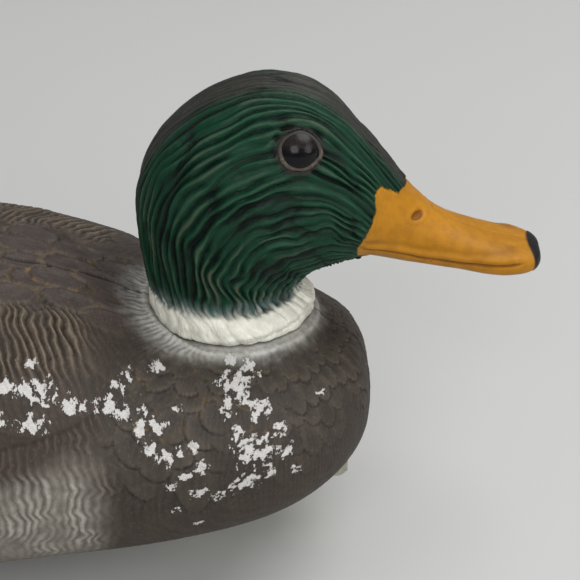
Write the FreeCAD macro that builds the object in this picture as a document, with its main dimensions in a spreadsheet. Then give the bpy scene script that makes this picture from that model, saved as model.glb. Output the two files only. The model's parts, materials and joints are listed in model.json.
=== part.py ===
import FreeCAD, Part
import math
import os
import Sketcher

# Floating duck decoy, drake mallard, millimetres.
# +X points where the bill points, +Y to the duck's left, +Z up.
# The origin is the centre of the keel's flat underside.
# The hull and the head are drawn from the neck: their own zero is the centre of the circle
# on which the head turns.

DIMENSIONS = [
    # how far the neck circle lies ahead of the keel's middle
    ("neck_forward", 107.5),
    # hull
    ("hull_stern", 295.0), ("hull_breast", 45.3), ("hull_width", 160.0),
    ("hull_back", 21.0), ("hull_depth", 70.0), ("hull_wall", 2.2),
    # head
    ("head_reach", 97.6), ("head_rise", 78.0), ("head_width", 52.0), ("head_wall", 2.0),
    ("neck_radius", 25.5),
    # turning joint under the neck
    ("joint_gap", 0.6), ("seat_margin", 0.6), ("seat_thickness", 3.2),
    ("seat_flare", 14.0), ("seat_drop", 12.0),
    ("seat_rim", 2.0), ("socket_flange", 2.5), ("socket_flange_thickness", 1.5),
    ("socket_wall", 3.5), ("socket_height", 15.0), ("socket_floor", 2.5),
    ("socket_fit", 0.1), ("spigot_gap", 0.3), ("spigot_wall", 2.4),
    ("plate_thickness", 3.5), ("seal_section", 0.85), ("seal_groove_depth", 1.3),
    ("bolt_radius", 3.0), ("bolt_fit", 0.05), ("bolt_head_radius", 6.0),
    ("bolt_head_height", 4.0), ("bolt_tail", 3.0), ("washer_radius", 9.0),
    ("washer_thickness", 1.2), ("spring_radius", 7.5), ("spring_rise", 1.4),
    ("spring_thickness", 0.7), ("nut_radius", 5.6), ("nut_height", 6.0),
    # eyes: ahead of the neck's axis, and down from the crown
    ("eye_forward", 21.8), ("eye_under_crown", 12.5), ("eye_radius", 6.1), ("eye_dome", 7.8),
    ("eye_proud", 1.9), ("eye_depth", 5.0), ("eye_tilt", 24.0), ("eye_toe", 10.0),
    # keel
    ("keel_depth", 14.0), ("keel_flat", 185.0), ("keel_width", 22.0), ("keel_edge", 3.0),
    ("keel_nose_reach", 53.0), ("keel_nose_rise", 23.0), ("keel_nose_corner", 2.0),
    ("keel_lug_flat", 8.0), ("keel_chin_back", 18.0), ("keel_chin_rise", 12.5),
    ("keel_tail_reach", 12.0), ("keel_tail_rise", 8.0),
    ("keel_bury", 30.0),
    ("trough_length", 116.0), ("trough_width", 13.0), ("trough_floor", 3.0),
    ("trough_forward", 8.0),
    ("ballast_height", 10.0), ("ballast_gap", 0.3),
    # keel screws
    ("screw_radius", 2.0), ("screw_fit", 0.1), ("screw_head_radius", 4.2),
    ("screw_head_height", 2.6), ("screw_length", 29.0), ("screw_sink", 8.0),
    ("screw_front", 82.0), ("screw_rear", 70.0), ("screw_step", 13.0), ("screw_washer_radius", 4.6),
    ("screw_washer_thickness", 0.8), ("insert_radius", 3.4), ("insert_length", 8.0),
    ("boss_radius", 7.0),
    # line eyelets
    ("eyelet_bore", 3.0), ("eyelet_wall", 1.2), ("eyelet_lip", 1.4), ("eyelet_lip_thickness", 0.9),
    ("eyelet_from_nose", 19.0), ("eyelet_over_chin", 7.4),
    ("eyelet_from_tail", 8.5), ("eyelet_rear_up", 20.0),
    # lap strip glued under the back seam
    ("strip_width", 9.0), ("strip_thickness", 1.6), ("strip_front", -42.0), ("strip_rear", -225.0),
]

BALLAST_BARS = 3

# Worked out from the sizes: the neck circle's height, the socket barrel's radius and the
# height of the keel's hidden top, which the hull cuts to shape.
NECK_UP = "( hull_depth + keel_depth )"
SOCKET_RADIUS = "( neck_radius - seat_rim - socket_flange )"
KEEL_TOP = "( keel_depth + keel_bury )"

# Each keel screw's place: two ahead of the ballast trough and two behind it.
SCREW_PLACES = [
    ("front_outer", "screw_front + screw_step"), ("front_inner", "screw_front"),
    ("rear_inner", "-1 * screw_rear + screw_step"), ("rear_outer", "-1 * screw_rear"),
]
# Each line eyelet's place along the keel and its height.
EYELETS = [
    ("front", "keel_flat / 2 + keel_nose_reach - eyelet_from_nose",
     "keel_chin_rise + eyelet_over_chin"),
    ("rear", "eyelet_from_tail - keel_flat / 2 - keel_tail_reach", "eyelet_rear_up"),
]
HALF_POINTS = 12

# Hull stations: place along the hull (share of the breast length ahead of the neck, of the
# stern length behind it), half-width, top and bottom (above the neck circle as a share of
# the back's height, below it as a share of the depth), and how square the lower and the
# upper half of the section are (2 is an ellipse).
HULL_STATIONS = [
    (1.000, 0.088, -0.386, -0.500, 2.0, 2.0),
    (0.956, 0.250, -0.257, -0.614, 2.0, 2.0),
    (0.850, 0.400, -0.143, -0.700, 2.1, 2.0),
    (0.640, 0.550, -0.071, -0.779, 2.3, 2.0),
    (0.331, 0.681, -0.029, -0.843, 2.4, 2.1),
    (-0.017, 0.781, 0.024, -0.886, 2.5, 2.2),
    (-0.102, 0.869, 0.238, -0.921, 2.5, 2.2),
    (-0.186, 0.938, 0.667, -0.950, 2.5, 2.1),
    (-0.305, 1.000, 0.976, -1.000, 2.5, 2.1),
    (-0.441, 1.000, 1.000, -0.980, 2.5, 2.1),
    (-0.576, 0.913, 0.833, -0.880, 2.4, 2.1),
    (-0.695, 0.750, 0.571, -0.740, 2.3, 2.1),
    (-0.797, 0.575, 0.333, -0.543, 2.2, 2.1),
    (-0.881, 0.425, 0.214, -0.314, 2.1, 2.1),
    (-0.949, 0.325, 0.190, -0.129, 2.2, 2.2),
    (-1.000, 0.225, 0.214, -0.014, 2.3, 2.3),
]

# Head stations, from the neck to the bill's tip: throat point and crown point (forward as a
# share of the reach, up as a share of the rise), half-width, squareness of the throat half
# and of the crown half, and how far the widest place is moved towards the crown.
HEAD_STATIONS = [
    (0.250, 0.077, -0.262, 0.090, 0.946, 2.0, 2.0, 0.0),
    (0.221, 0.128, -0.277, 0.205, 0.904, 2.0, 2.0, 0.0),
    (0.231, 0.167, -0.293, 0.372, 0.923, 2.0, 2.1, 0.0),
    (0.277, 0.212, -0.289, 0.564, 0.969, 2.0, 2.3, 0.0),
    (0.328, 0.244, -0.220, 0.763, 1.000, 2.0, 2.6, 0.0),
    (0.374, 0.263, -0.082, 0.917, 1.000, 2.0, 2.7, -0.03),
    (0.410, 0.269, 0.092, 1.000, 0.946, 2.0, 2.7, -0.03),
    (0.441, 0.276, 0.256, 0.974, 0.869, 2.0, 2.6, -0.05),
    (0.471, 0.276, 0.394, 0.833, 0.723, 2.1, 2.4, -0.12),
    (0.507, 0.269, 0.502, 0.673, 0.577, 2.2, 2.2, -0.20),
    (0.553, 0.260, 0.574, 0.558, 0.492, 2.4, 2.1, -0.25),
    (0.635, 0.244, 0.656, 0.455, 0.454, 2.6, 2.2, -0.20),
    (0.758, 0.218, 0.774, 0.378, 0.469, 2.7, 2.4, -0.10),
    (0.881, 0.199, 0.891, 0.333, 0.492, 2.7, 2.5, 0.0),
    (0.963, 0.205, 0.968, 0.308, 0.404, 2.5, 2.5, 0.0),
    (0.999, 0.231, 1.000, 0.282, 0.212, 2.3, 2.3, 0.0),
]

doc = FreeCAD.newDocument("duck_decoy")
sheet = doc.addObject("Spreadsheet::Sheet", "sizes")
for row, (alias, number) in enumerate(DIMENSIONS, start=1):
    sheet.set("A%d" % row, alias)
    sheet.set("B%d" % row, str(number))
    sheet.setAlias("B%d" % row, alias)
doc.recompute()

finished = []


def size(alias):
    """The number in the sheet's cell of that name."""
    return float(sheet.get(alias))


def bound(expression):
    """The same expression with every size's name turned into a reference to the sheet."""
    words = []
    for word in expression.replace("(", " ( ").replace(")", " ) ").split():
        words.append("sizes." + word if word[0].isalpha() else word)
    return " ".join(words)


def bind(item, **expressions):
    """Binds properties to the sheet; at_x, at_y and at_z are the placement's base."""
    for name, expression in expressions.items():
        target = name.replace("at_", ".Placement.Base.")
        item.setExpression(target, bound(expression))
    return item


def keep(item, label):
    """Marks an object as one finished sub-part, under the name of its file."""
    item.Label = label
    finished.append(item)
    return item


# ---- building blocks ---------------------------------------------------------------------


def cylinder(name, radius, height, **place):
    return bind(doc.addObject("Part::Cylinder", name), Radius=radius, Height=height, **place)


def box(name, length, width, height, **place):
    item = doc.addObject("Part::Box", name)
    return bind(item, Length=length, Width=width, Height=height, **place)


def cut(name, base, tool):
    item = doc.addObject("Part::Cut", name)
    item.Base = base
    item.Tool = tool
    return item


def fuse(name, pieces):
    item = doc.addObject("Part::MultiFuse", name)
    item.Shapes = pieces
    return item


def common(name, first, second):
    item = doc.addObject("Part::Common", name)
    item.Base = first
    item.Tool = second
    return item


def compound(name, pieces):
    item = doc.addObject("Part::Compound", name)
    item.Links = pieces
    return item


def origin_plane(body, role):
    return [plane for plane in body.Origin.OriginFeatures if plane.Role == role][0]


def outline_sketch(body, outline):
    """A closed outline on the body's XZ plane; each corner is a pair of expressions."""
    sketch = body.newObject("Sketcher::SketchObject", body.Name + "_outline")
    sketch.AttachmentSupport = (origin_plane(body, "XZ_Plane"), [""])
    sketch.MapMode = "FlatFace"
    corners = [tuple(evaluate(text) for text in corner) for corner in outline]
    count = len(corners)
    for index in range(count):
        start = FreeCAD.Vector(*corners[index], 0)
        end = FreeCAD.Vector(*corners[(index + 1) % count], 0)
        sketch.addGeometry(Part.LineSegment(start, end))
    for index in range(count):
        following = (index + 1) % count
        sketch.addConstraint(Sketcher.Constraint("Coincident", index, 2, following, 1))
    for index, corner in enumerate(outline):
        for kind, axis, text in (("DistanceX", -2, corner[0]), ("DistanceY", -1, corner[1])):
            place = evaluate(text)
            if text == "0":
                sketch.addConstraint(Sketcher.Constraint("PointOnObject", index, 1, axis))
                continue
            number = sketch.addConstraint(Sketcher.Constraint(kind, -1, 1, index, 1, place))
            sketch.setExpression("Constraints[%d]" % number, bound(text))
    return sketch


def evaluate(expression):
    """The number that an expression in the sheet's names comes to."""
    return float(sheet.evalExpression(bound(expression).replace("sizes.", "")))


def turned(name, outline, **place):
    """A turned piece: its half outline (radius, height) spun about its own Z axis."""
    body = doc.addObject("PartDesign::Body", name)
    sketch = outline_sketch(body, outline)
    spin = body.newObject("PartDesign::Revolution", name + "_spin")
    spin.Profile = sketch
    spin.ReferenceAxis = (sketch, ["V_Axis"])
    spin.Angle = 360
    return bind(body, **place)


def padded(name, outline, width, **place):
    """A plate with that outline in the XZ plane, as thick to the left as to the right."""
    body = doc.addObject("PartDesign::Body", name)
    sketch = outline_sketch(body, outline)
    pad = body.newObject("PartDesign::Pad", name + "_pad")
    pad.Profile = sketch
    pad.Midplane = True
    pad.setExpression("Length", bound(width))
    return bind(body, **place)


def feature(name, shape, on_neck=True):
    """A piece whose shape comes from Part's own functions."""
    item = doc.addObject("Part::Feature", name)
    item.Shape = shape
    if on_neck:
        bind(item, at_x="neck_forward", at_z=NECK_UP)
    return item


# ---- lofts --------------------------------------------------------------------------------


class Station:
    """One section, in the plane that holds two points of the centre plane and runs along Y."""

    def __init__(self, low, high, half_width, low_power, high_power, shift=0.0):
        self.low = FreeCAD.Vector(low[0], 0, low[1])
        self.high = FreeCAD.Vector(high[0], 0, high[1])
        self.half_width = half_width
        self.low_power = low_power
        self.high_power = high_power
        self.shift = shift

    def middle(self):
        return (self.low + self.high) * 0.5

    def direction(self):
        return (self.high - self.low).normalize()

    def point(self, angle):
        """The outline's point at an angle from the high end, on the left side."""
        power = self.high_power if math.cos(angle) > 0 else self.low_power
        up = math.copysign(abs(math.cos(angle)) ** (2 / power), math.cos(angle))
        side = abs(math.sin(angle)) ** (2 / power)
        up += self.shift * (1 - up * up)
        half = (self.high - self.low) * 0.5
        return self.middle() + half * up + FreeCAD.Vector(0, side * self.half_width, 0)

    def wire(self):
        """The section's left half, closed along the centre plane."""
        points = [self.high]
        for index in range(1, HALF_POINTS):
            points.append(self.point(math.pi * index / HALF_POINTS))
        points.append(self.low)
        outward = FreeCAD.Vector(0, 1, 0)
        curve = Part.BSplineCurve()
        curve.interpolate(Points=points, InitialTangent=outward, FinalTangent=-outward)
        return Part.Wire([curve.toShape(), Part.makeLine(self.low, self.high)])


def inset(stations, wall):
    """The stations of the surface that lies one wall inside, where there is room for it."""
    inner = []
    for index, station in enumerate(stations):
        before = stations[max(index - 1, 0)]
        after = stations[min(index + 1, len(stations) - 1)]
        across = station.direction()
        depths = []
        for ends in ((before.low, after.low), (before.high, after.high)):
            along = (ends[1] - ends[0]).normalize()
            depths.append(wall / max(along.cross(across).Length, 0.2))
        step = (after.middle() - before.middle()).Length
        slope = (after.half_width - before.half_width) / step
        half_width = station.half_width - wall * math.sqrt(1 + slope * slope)
        room = (station.high - station.low).Length - sum(depths)
        if half_width < 1.5 * wall or room < wall:
            continue
        low = station.low + across * depths[0]
        high = station.high - across * depths[1]
        inner.append(Station((low.x, low.z), (high.x, high.z), half_width,
                             station.low_power, station.high_power, station.shift))
    return inner


def left_half(stations):
    """The solid through the stations' left halves."""
    return Part.makeLoft([station.wire() for station in stations], True, False, False, 5)


def mirrored(shape):
    """The same shape on the duck's other side."""
    return shape.mirror(FreeCAD.Vector(0, 0, 0), FreeCAD.Vector(0, 1, 0))


def whole(half):
    return half.fuse(mirrored(half)).removeSplitter()


def hull_stations():
    stations = []
    for along, wide, top, bottom, low_power, high_power in HULL_STATIONS:
        forward = along * size("hull_breast" if along > 0 else "hull_stern")
        high = top * size("hull_back" if top > 0 else "hull_depth")
        low = bottom * size("hull_depth")
        half_width = wide * size("hull_width") / 2
        stations.append(Station((forward, low), (forward, high), half_width,
                                low_power, high_power))
    return stations


def head_stations():
    radius = size("neck_radius")
    stations = [Station((radius, 0.0), (-radius, 0.0), radius, 2.0, 2.0)]
    for low_x, low_z, high_x, high_z, wide, low_power, high_power, shift in HEAD_STATIONS:
        low = (low_x * size("head_reach"), low_z * size("head_rise"))
        high = (high_x * size("head_reach"), high_z * size("head_rise"))
        half_width = wide * size("head_width") / 2
        stations.append(Station(low, high, half_width, low_power, high_power, shift))
    return stations


def slab(low, high):
    """An upright box between two corners."""
    return Part.makeBox(high[0] - low[0], high[1] - low[1], high[2] - low[2],
                        FreeCAD.Vector(*low))


def disc(radius, low, high):
    return Part.makeCylinder(radius, high - low, FreeCAD.Vector(0, 0, low))


# ---- hull ---------------------------------------------------------------------------------

far_up = size("hull_stern")
seat_radius = size("neck_radius") + size("seat_margin")
seat_level = -size("joint_gap") / 2


def left_of_centre(shape):
    reach = size("hull_stern")
    return shape.common(slab((-reach, 0, -reach), (reach, reach, reach)))


def hull_outside():
    """The left half of the hull's form, with the raised seat under the neck."""
    body = left_half(hull_stations())
    drop = size("seat_drop")
    flare = Part.makeCone(seat_radius + size("seat_flare"), seat_radius, drop,
                          FreeCAD.Vector(0, 0, seat_level - drop))
    return body.fuse(left_of_centre(flare)).cut(disc(seat_radius, seat_level, far_up))


def hull_inside(wall):
    """The left half of the cavity, which stays clear of the thick seat under the neck."""
    cavity = left_half(inset(hull_stations(), wall))
    reach = seat_radius + size("hull_wall")
    return cavity.cut(disc(reach, seat_level - size("seat_thickness"), far_up))


def make_hull():
    outside = hull_outside()
    inside = hull_inside(size("hull_wall"))
    rebate_radius = size("neck_radius") - size("seat_rim")
    rebate = disc(rebate_radius, seat_level - size("socket_flange_thickness"), far_up)
    hole = disc(evaluate(SOCKET_RADIUS), -size("hull_depth") / 2, far_up)
    shell = outside.cut(inside).cut(rebate).cut(hole)
    for name, place in SCREW_PLACES:
        spot = FreeCAD.Vector(evaluate(place) - size("neck_forward"), 0, -size("hull_depth") - 1)
        way = size("screw_radius") + size("screw_fit")
        shell = shell.cut(Part.makeCylinder(way, size("hull_depth") / 2, spot))
    keep(feature("shell_left", shell), "body_shell_left")
    keep(feature("shell_right", mirrored(shell)), "body_shell_right")
    return outside, inside


def make_lap_strip(inside):
    """A strip glued under the back seam, inside the hull."""
    deeper = hull_inside(size("hull_wall") + size("strip_thickness"))
    zone = slab((size("strip_rear"), 0, -size("hull_back")),
                (size("strip_front"), size("strip_width") / 2, far_up))
    keep(feature("strip", whole(inside.cut(deeper).common(zone))), "back_seam_strip")


# ---- head ---------------------------------------------------------------------------------


def glass_eye(outside):
    """The left eye: a rod's end rounded by a ball, set square to the head's side."""
    tilt = math.radians(size("eye_tilt"))
    toe = math.radians(size("eye_toe"))
    look = FreeCAD.Vector(math.sin(toe), math.cos(toe), math.tan(tilt)).normalize()
    spot = FreeCAD.Vector(size("eye_forward"), 0, size("head_rise") - size("eye_under_crown"))
    ray = Part.makeLine(spot, spot + FreeCAD.Vector(0, size("head_width"), 0))
    spot.y = outside.common(ray).BoundBox.YMax
    depth = size("eye_depth")
    rod = Part.makeCylinder(size("eye_radius"), depth + size("eye_dome"), spot - look * depth, look)
    ball = Part.makeSphere(size("eye_dome"), spot + look * (size("eye_proud") - size("eye_dome")))
    return rod.common(ball)


def make_head():
    outside = left_half(head_stations())
    inside = left_half(inset(head_stations(), size("head_wall")))
    below = disc(2 * size("neck_radius"), -size("head_rise"), -seat_level)
    eye = glass_eye(outside)
    shell = outside.cut(inside).cut(below).cut(eye)
    keep(feature("glass_left", eye), "eye_left")
    keep(feature("glass_right", mirrored(eye)), "eye_right")
    keep(feature("skull_left", shell), "head_shell_left")
    keep(feature("skull_right", mirrored(shell)), "head_shell_right")
    return inside


def make_neck_plate(head_inside):
    """Disc glued into the neck, with a cup that turns in the socket."""
    cavity = feature("head_cavity", whole(head_inside))
    blank = cylinder("plate_blank", "2 * neck_radius", "plate_thickness",
                     at_x="neck_forward", at_z=NECK_UP + " + joint_gap / 2")
    plate = common("plate_disc", blank, cavity)
    outer = SOCKET_RADIUS + " - socket_wall - spigot_gap"
    inner = outer + " - spigot_wall"
    cup = turned("plate_cup", [
        ("bolt_radius + bolt_fit", "0"), (outer, "0"),
        (outer, depth_of_cup + " + plate_thickness / 2"),
        (inner, depth_of_cup + " + plate_thickness / 2"),
        (inner, "spigot_wall"), ("bolt_radius + bolt_fit", "spigot_wall"),
    ], at_x="neck_forward", at_z=NECK_UP + " + joint_gap / 2 - ( " + depth_of_cup + " )")
    well = cylinder("plate_well", inner, "2 * plate_thickness",
                    at_x="neck_forward", at_z=NECK_UP + " - plate_thickness / 2")
    keep(fuse("plate_whole", [cut("plate_ring", plate, well), cup]), "neck_plate")


# The cup hangs from the plate's underside down to one gap above the socket's floor.
depth_of_cup = "socket_height - socket_floor - spigot_gap + joint_gap"


def make_socket():
    """Flanged cup let into the hull's neck hole; the head's cup turns in it."""
    barrel = SOCKET_RADIUS + " - socket_fit"
    flange = "neck_radius - seat_rim - socket_fit"
    inner = SOCKET_RADIUS + " - socket_wall"
    bore = "bolt_radius + bolt_fit"
    blank = turned("socket_blank", [
        (bore, "0"), (barrel, "0"),
        (barrel, "socket_height - socket_flange_thickness"),
        (flange, "socket_height - socket_flange_thickness"), (flange, "socket_height"),
        (inner, "socket_height"), (inner, "socket_floor"), (bore, "socket_floor"),
    ], at_x="neck_forward", at_z=NECK_UP + " - joint_gap / 2 - socket_height")
    centre = SOCKET_RADIUS + " - socket_wall / 2"
    groove = turned("seal_groove", [
        (centre + " - seal_section", "0"), (centre + " + seal_section", "0"),
        (centre + " + seal_section", "2 * seal_groove_depth"),
        (centre + " - seal_section", "2 * seal_groove_depth"),
    ], at_x="neck_forward", at_z=NECK_UP + " - joint_gap / 2 - seal_groove_depth")
    keep(cut("socket", blank, groove), "neck_socket")
    seal = doc.addObject("Part::Torus", "seal_ring")
    bind(seal, Radius1=centre, Radius2="seal_section", at_x="neck_forward",
         at_z=NECK_UP + " - joint_gap / 2 - seal_groove_depth + seal_section")
    keep(seal, "neck_seal")


def hexagon(name, radius, height, **place):
    prism = doc.addObject("Part::Prism", name)
    prism.Polygon = 6
    return bind(prism, Circumradius=radius, Height=height, **place)


# Heights under the neck circle of the stack on the pivot bolt.
floor_top = NECK_UP + " - joint_gap / 2 - socket_height + socket_floor + spigot_gap"
floor_bottom = NECK_UP + " - joint_gap / 2 - socket_height"
spring_top = floor_bottom + " - spigot_gap"
washer_top = spring_top + " - 2 * spring_rise"
nut_top = washer_top + " - washer_thickness"
bolt_end = nut_top + " - nut_height - bolt_tail"
bolt_top = floor_top + " + spigot_wall"


def make_pivot():
    """Bolt, two dished springs, washer and lock nut that hold the head down."""
    head = hexagon("bolt_head", "bolt_head_radius", "bolt_head_height",
                   at_x="neck_forward", at_z=bolt_top)
    shank = cylinder("bolt_shank", "bolt_radius",
                     "%s - ( %s ) + bolt_head_height / 2" % (bolt_top, bolt_end),
                     at_x="neck_forward", at_z=bolt_end)
    keep(fuse("bolt", [head, shank]), "pivot_bolt")
    springs = []
    bore = "bolt_radius + screw_fit"
    for index, upper in enumerate((True, False)):
        level = spring_top + (" - spring_rise" if upper else " - 2 * spring_rise")
        near = "spring_rise - spring_thickness" if upper else "0"
        edge = "0" if upper else "spring_rise - spring_thickness"
        springs.append(turned("spring_%d" % index, [
            (bore, near), ("spring_radius", edge),
            ("spring_radius", "spring_thickness" if upper else "spring_rise"),
            (bore, "spring_rise" if upper else "spring_thickness"),
        ], at_x="neck_forward", at_z=level))
    keep(compound("springs", springs), "pivot_springs")
    washer = turned("washer_body", [
        (bore, "0"), ("washer_radius", "0"), ("washer_radius", "washer_thickness"),
        (bore, "washer_thickness"),
    ], at_x="neck_forward", at_z=nut_top)
    keep(washer, "pivot_washer")
    block = hexagon("nut_block", "nut_radius", "nut_height",
                    at_x="neck_forward", at_z=nut_top + " - nut_height")
    thread = cylinder("nut_thread", "bolt_radius", "3 * nut_height",
                      at_x="neck_forward", at_z=nut_top + " - 2 * nut_height")
    keep(cut("nut", block, thread), "pivot_nut")


# ---- keel ---------------------------------------------------------------------------------

KEEL_BACK = "keel_flat / 2 + keel_tail_reach"


def lower_edges(body, level):
    """Names of the edges that lie wholly under a height and run along the keel's flanks."""
    names = []
    half = size("keel_width") / 2
    for number, edge in enumerate(body.Shape.Edges, start=1):
        span = edge.BoundBox
        if span.ZMax < level and min(abs(span.YMin), abs(span.YMax)) > half - 0.1:
            names.append("Edge%d" % number)
    return names


def make_keel(hull_form):
    nose = "keel_tail_reach + keel_flat + keel_nose_reach"
    blank = padded("keel_blank", [
        ("keel_tail_reach", "0"), ("keel_tail_reach + keel_flat", "0"),
        (nose + " - keel_chin_back", "keel_chin_rise"),
        (nose + " - keel_lug_flat", "keel_nose_rise"),
        (nose + " - keel_nose_corner", "keel_nose_rise"),
        (nose, "keel_nose_rise + keel_nose_corner"),
        (nose, KEEL_TOP), ("0", KEEL_TOP), ("0", "keel_tail_rise"),
    ], "keel_width", at_x="-1 * ( " + KEEL_BACK + " )")
    doc.recompute()
    rounding = blank.newObject("PartDesign::Fillet", "keel_rounding")
    pad = doc.getObject("keel_blank_pad")
    rounding.Base = (pad, lower_edges(pad, evaluate(KEEL_TOP) - 1))
    rounding.setExpression("Radius", bound("keel_edge"))
    form = cut("keel_under_hull", blank, feature("hull_form", hull_form))
    trough = box("trough", "trough_length", "trough_width", KEEL_TOP,
                 at_x="trough_forward - trough_length / 2", at_y="-1 * trough_width / 2",
                 at_z="trough_floor")
    holes = [trough]
    for name, place in SCREW_PLACES:
        holes.append(cylinder("way_" + name, "screw_radius + screw_fit", KEEL_TOP, at_x=place))
        holes.append(cylinder("sink_" + name, "screw_washer_radius + screw_fit",
                              "screw_sink", at_x=place))
    for name, forward, up in EYELETS:
        hole = cylinder("eyelet_hole_" + name, "eyelet_bore + eyelet_wall", "2 * keel_width",
                        at_x=forward, at_z=up, at_y="keel_width")
        hole.Placement.Rotation = FreeCAD.Rotation(FreeCAD.Vector(1, 0, 0), 90)
        holes.append(hole)
    keep(cut("keel_drilled", form, compound("keel_holes", holes)), "keel")


def make_eyelets():
    """Flanged tubes that line the two holes for the anchor line."""
    outer = "eyelet_bore + eyelet_wall"
    lip = outer + " + eyelet_lip"
    length = "keel_width + 2 * eyelet_lip_thickness"
    for name, forward, up in EYELETS:
        eyelet = turned("eyelet_" + name, [
            ("eyelet_bore", "0"), (lip, "0"), (lip, "eyelet_lip_thickness"),
            (outer, "eyelet_lip_thickness"), (outer, length + " - eyelet_lip_thickness"),
            (lip, length + " - eyelet_lip_thickness"), (lip, length), ("eyelet_bore", length),
        ], at_x=forward, at_z=up, at_y="keel_width / 2 + eyelet_lip_thickness")
        eyelet.Placement.Rotation = FreeCAD.Rotation(FreeCAD.Vector(1, 0, 0), 90)
        keep(eyelet, "line_eyelet_" + name)


def make_ballast():
    share = "( trough_length / %d )" % BALLAST_BARS
    bars = []
    for index in range(BALLAST_BARS):
        place = "trough_forward + ( %d - %d / 2 ) * %s + ballast_gap" % (index, BALLAST_BARS, share)
        bars.append(box("bar_%d" % index, share + " - 2 * ballast_gap",
                        "trough_width - 2 * ballast_gap", "ballast_height", at_x=place,
                        at_y="ballast_gap - trough_width / 2", at_z="trough_floor"))
    keep(compound("bars", bars), "ballast_bars")


def make_screws(cavity):
    """Screws from under the keel into brass inserts in blocks on the hull's floor."""
    screws = []
    washers = []
    inserts = []
    blocks = []
    seat = "screw_sink - screw_washer_thickness"
    room = feature("hull_cavity", cavity)
    for name, place in SCREW_PLACES:
        head = cylinder("head_" + name, "screw_head_radius", "screw_head_height", at_x=place,
                        at_z=seat + " - screw_head_height")
        shank = cylinder("shank_" + name, "screw_radius", "screw_length + screw_head_height / 2",
                         at_x=place, at_z=seat + " - screw_head_height / 2")
        screws.append(fuse("screw_" + name, [head, shank]))
        washers.append(turned("washer_" + name, [
            ("screw_radius + screw_fit", "0"), ("screw_washer_radius", "0"),
            ("screw_washer_radius", "screw_washer_thickness"),
            ("screw_radius + screw_fit", "screw_washer_thickness"),
        ], at_x=place, at_z=seat))
        tip = seat + " + screw_length"
        inserts.append(turned("insert_" + name, [
            ("screw_radius", "0"), ("insert_radius", "0"), ("insert_radius", "insert_length"),
            ("screw_radius", "insert_length"),
        ], at_x=place, at_z=tip + " - insert_length"))
        block = cylinder("block_" + name, "boss_radius", tip, at_x=place)
        fitted = common("fitted_" + name, block, room)
        way = cylinder("block_way_" + name, "insert_radius", tip + " + 1", at_x=place)
        blocks.append(cut("boss_" + name, fitted, way))
    keep(compound("screws", screws), "keel_screws")
    keep(compound("washers", washers), "keel_washers")
    keep(compound("inserts", inserts), "keel_inserts")
    keep(compound("blocks", blocks), "keel_blocks")


# ---- the whole ----------------------------------------------------------------------------


def check(item):
    if "Invalid" in item.State or "Error" in item.State:
        raise RuntimeError(item.Name + " failed: " + str(item.State))


hull_form, cavity = make_hull()
make_lap_strip(cavity)
head_cavity = make_head()
make_neck_plate(head_cavity)
make_socket()
make_pivot()
make_keel(whole(hull_form))
make_eyelets()
make_ballast()
make_screws(whole(cavity))
doc.recompute()
for item in doc.Objects:
    check(item)

os.makedirs("parts", exist_ok=True)
for item in finished:
    shape = item.Shape
    if shape.isNull() or not shape.isValid() or not shape.Solids:
        raise RuntimeError(item.Label + " has no sound solid")
    shape.exportStep(os.path.join("parts", item.Label + ".step"))
    span = shape.BoundBox
    print("%-18s %2d solids %9.1f mm3  x %7.1f %7.1f  y %6.1f %6.1f  z %6.1f %6.1f" % (
        item.Label, len(shape.Solids), shape.Volume, span.XMin, span.XMax,
        span.YMin, span.YMax, span.ZMin, span.ZMax))
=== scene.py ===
import json
import math
import bmesh
import bpy
import numpy as np
from mathutils import Matrix, Vector


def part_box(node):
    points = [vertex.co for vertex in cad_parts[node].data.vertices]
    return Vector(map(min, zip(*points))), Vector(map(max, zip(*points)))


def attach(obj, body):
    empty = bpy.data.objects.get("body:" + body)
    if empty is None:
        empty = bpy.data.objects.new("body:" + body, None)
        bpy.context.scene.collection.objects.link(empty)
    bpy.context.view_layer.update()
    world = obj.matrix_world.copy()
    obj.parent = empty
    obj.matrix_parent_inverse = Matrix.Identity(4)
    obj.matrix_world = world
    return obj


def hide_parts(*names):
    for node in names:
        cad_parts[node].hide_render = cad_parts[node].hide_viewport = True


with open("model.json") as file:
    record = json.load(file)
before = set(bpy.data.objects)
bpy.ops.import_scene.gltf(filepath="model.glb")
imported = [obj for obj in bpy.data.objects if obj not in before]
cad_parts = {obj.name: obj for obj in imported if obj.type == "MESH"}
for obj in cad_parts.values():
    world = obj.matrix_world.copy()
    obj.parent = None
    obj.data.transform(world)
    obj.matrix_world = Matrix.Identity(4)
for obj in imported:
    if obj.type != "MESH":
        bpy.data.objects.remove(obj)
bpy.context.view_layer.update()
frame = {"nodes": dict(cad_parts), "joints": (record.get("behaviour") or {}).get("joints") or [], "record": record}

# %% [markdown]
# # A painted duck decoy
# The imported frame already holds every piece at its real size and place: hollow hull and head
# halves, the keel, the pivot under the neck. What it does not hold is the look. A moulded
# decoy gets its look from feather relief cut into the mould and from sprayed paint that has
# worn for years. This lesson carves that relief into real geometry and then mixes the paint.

MM = 0.001
turn = frame["joints"][0]
neck = Vector(turn["pos_m"])
print("joint", turn["name"], "neck circle at", [round(c, 4) for c in neck])

# %% [markdown]
# ## Small tools
# Relief is worked out for a whole mesh at once, so points are handled as numpy arrays in
# millimetres from the neck circle's centre. Three helpers read and write a mesh's points and
# normals, one eases between 0 and 1, and one gives smooth noise that is the same on every run.
# A Displace modifier with a texture could do the same, but it couldn't follow the feathers.

# %% Points and easing
def points_of(mesh):
    flat = np.empty(len(mesh.vertices) * 3)
    mesh.vertices.foreach_get("co", flat)
    return (flat.reshape(-1, 3) - np.array(neck)) / MM


def normals_of(mesh):
    flat = np.empty(len(mesh.vertices) * 3)
    mesh.vertices.foreach_get("normal", flat)
    return flat.reshape(-1, 3)


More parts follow.
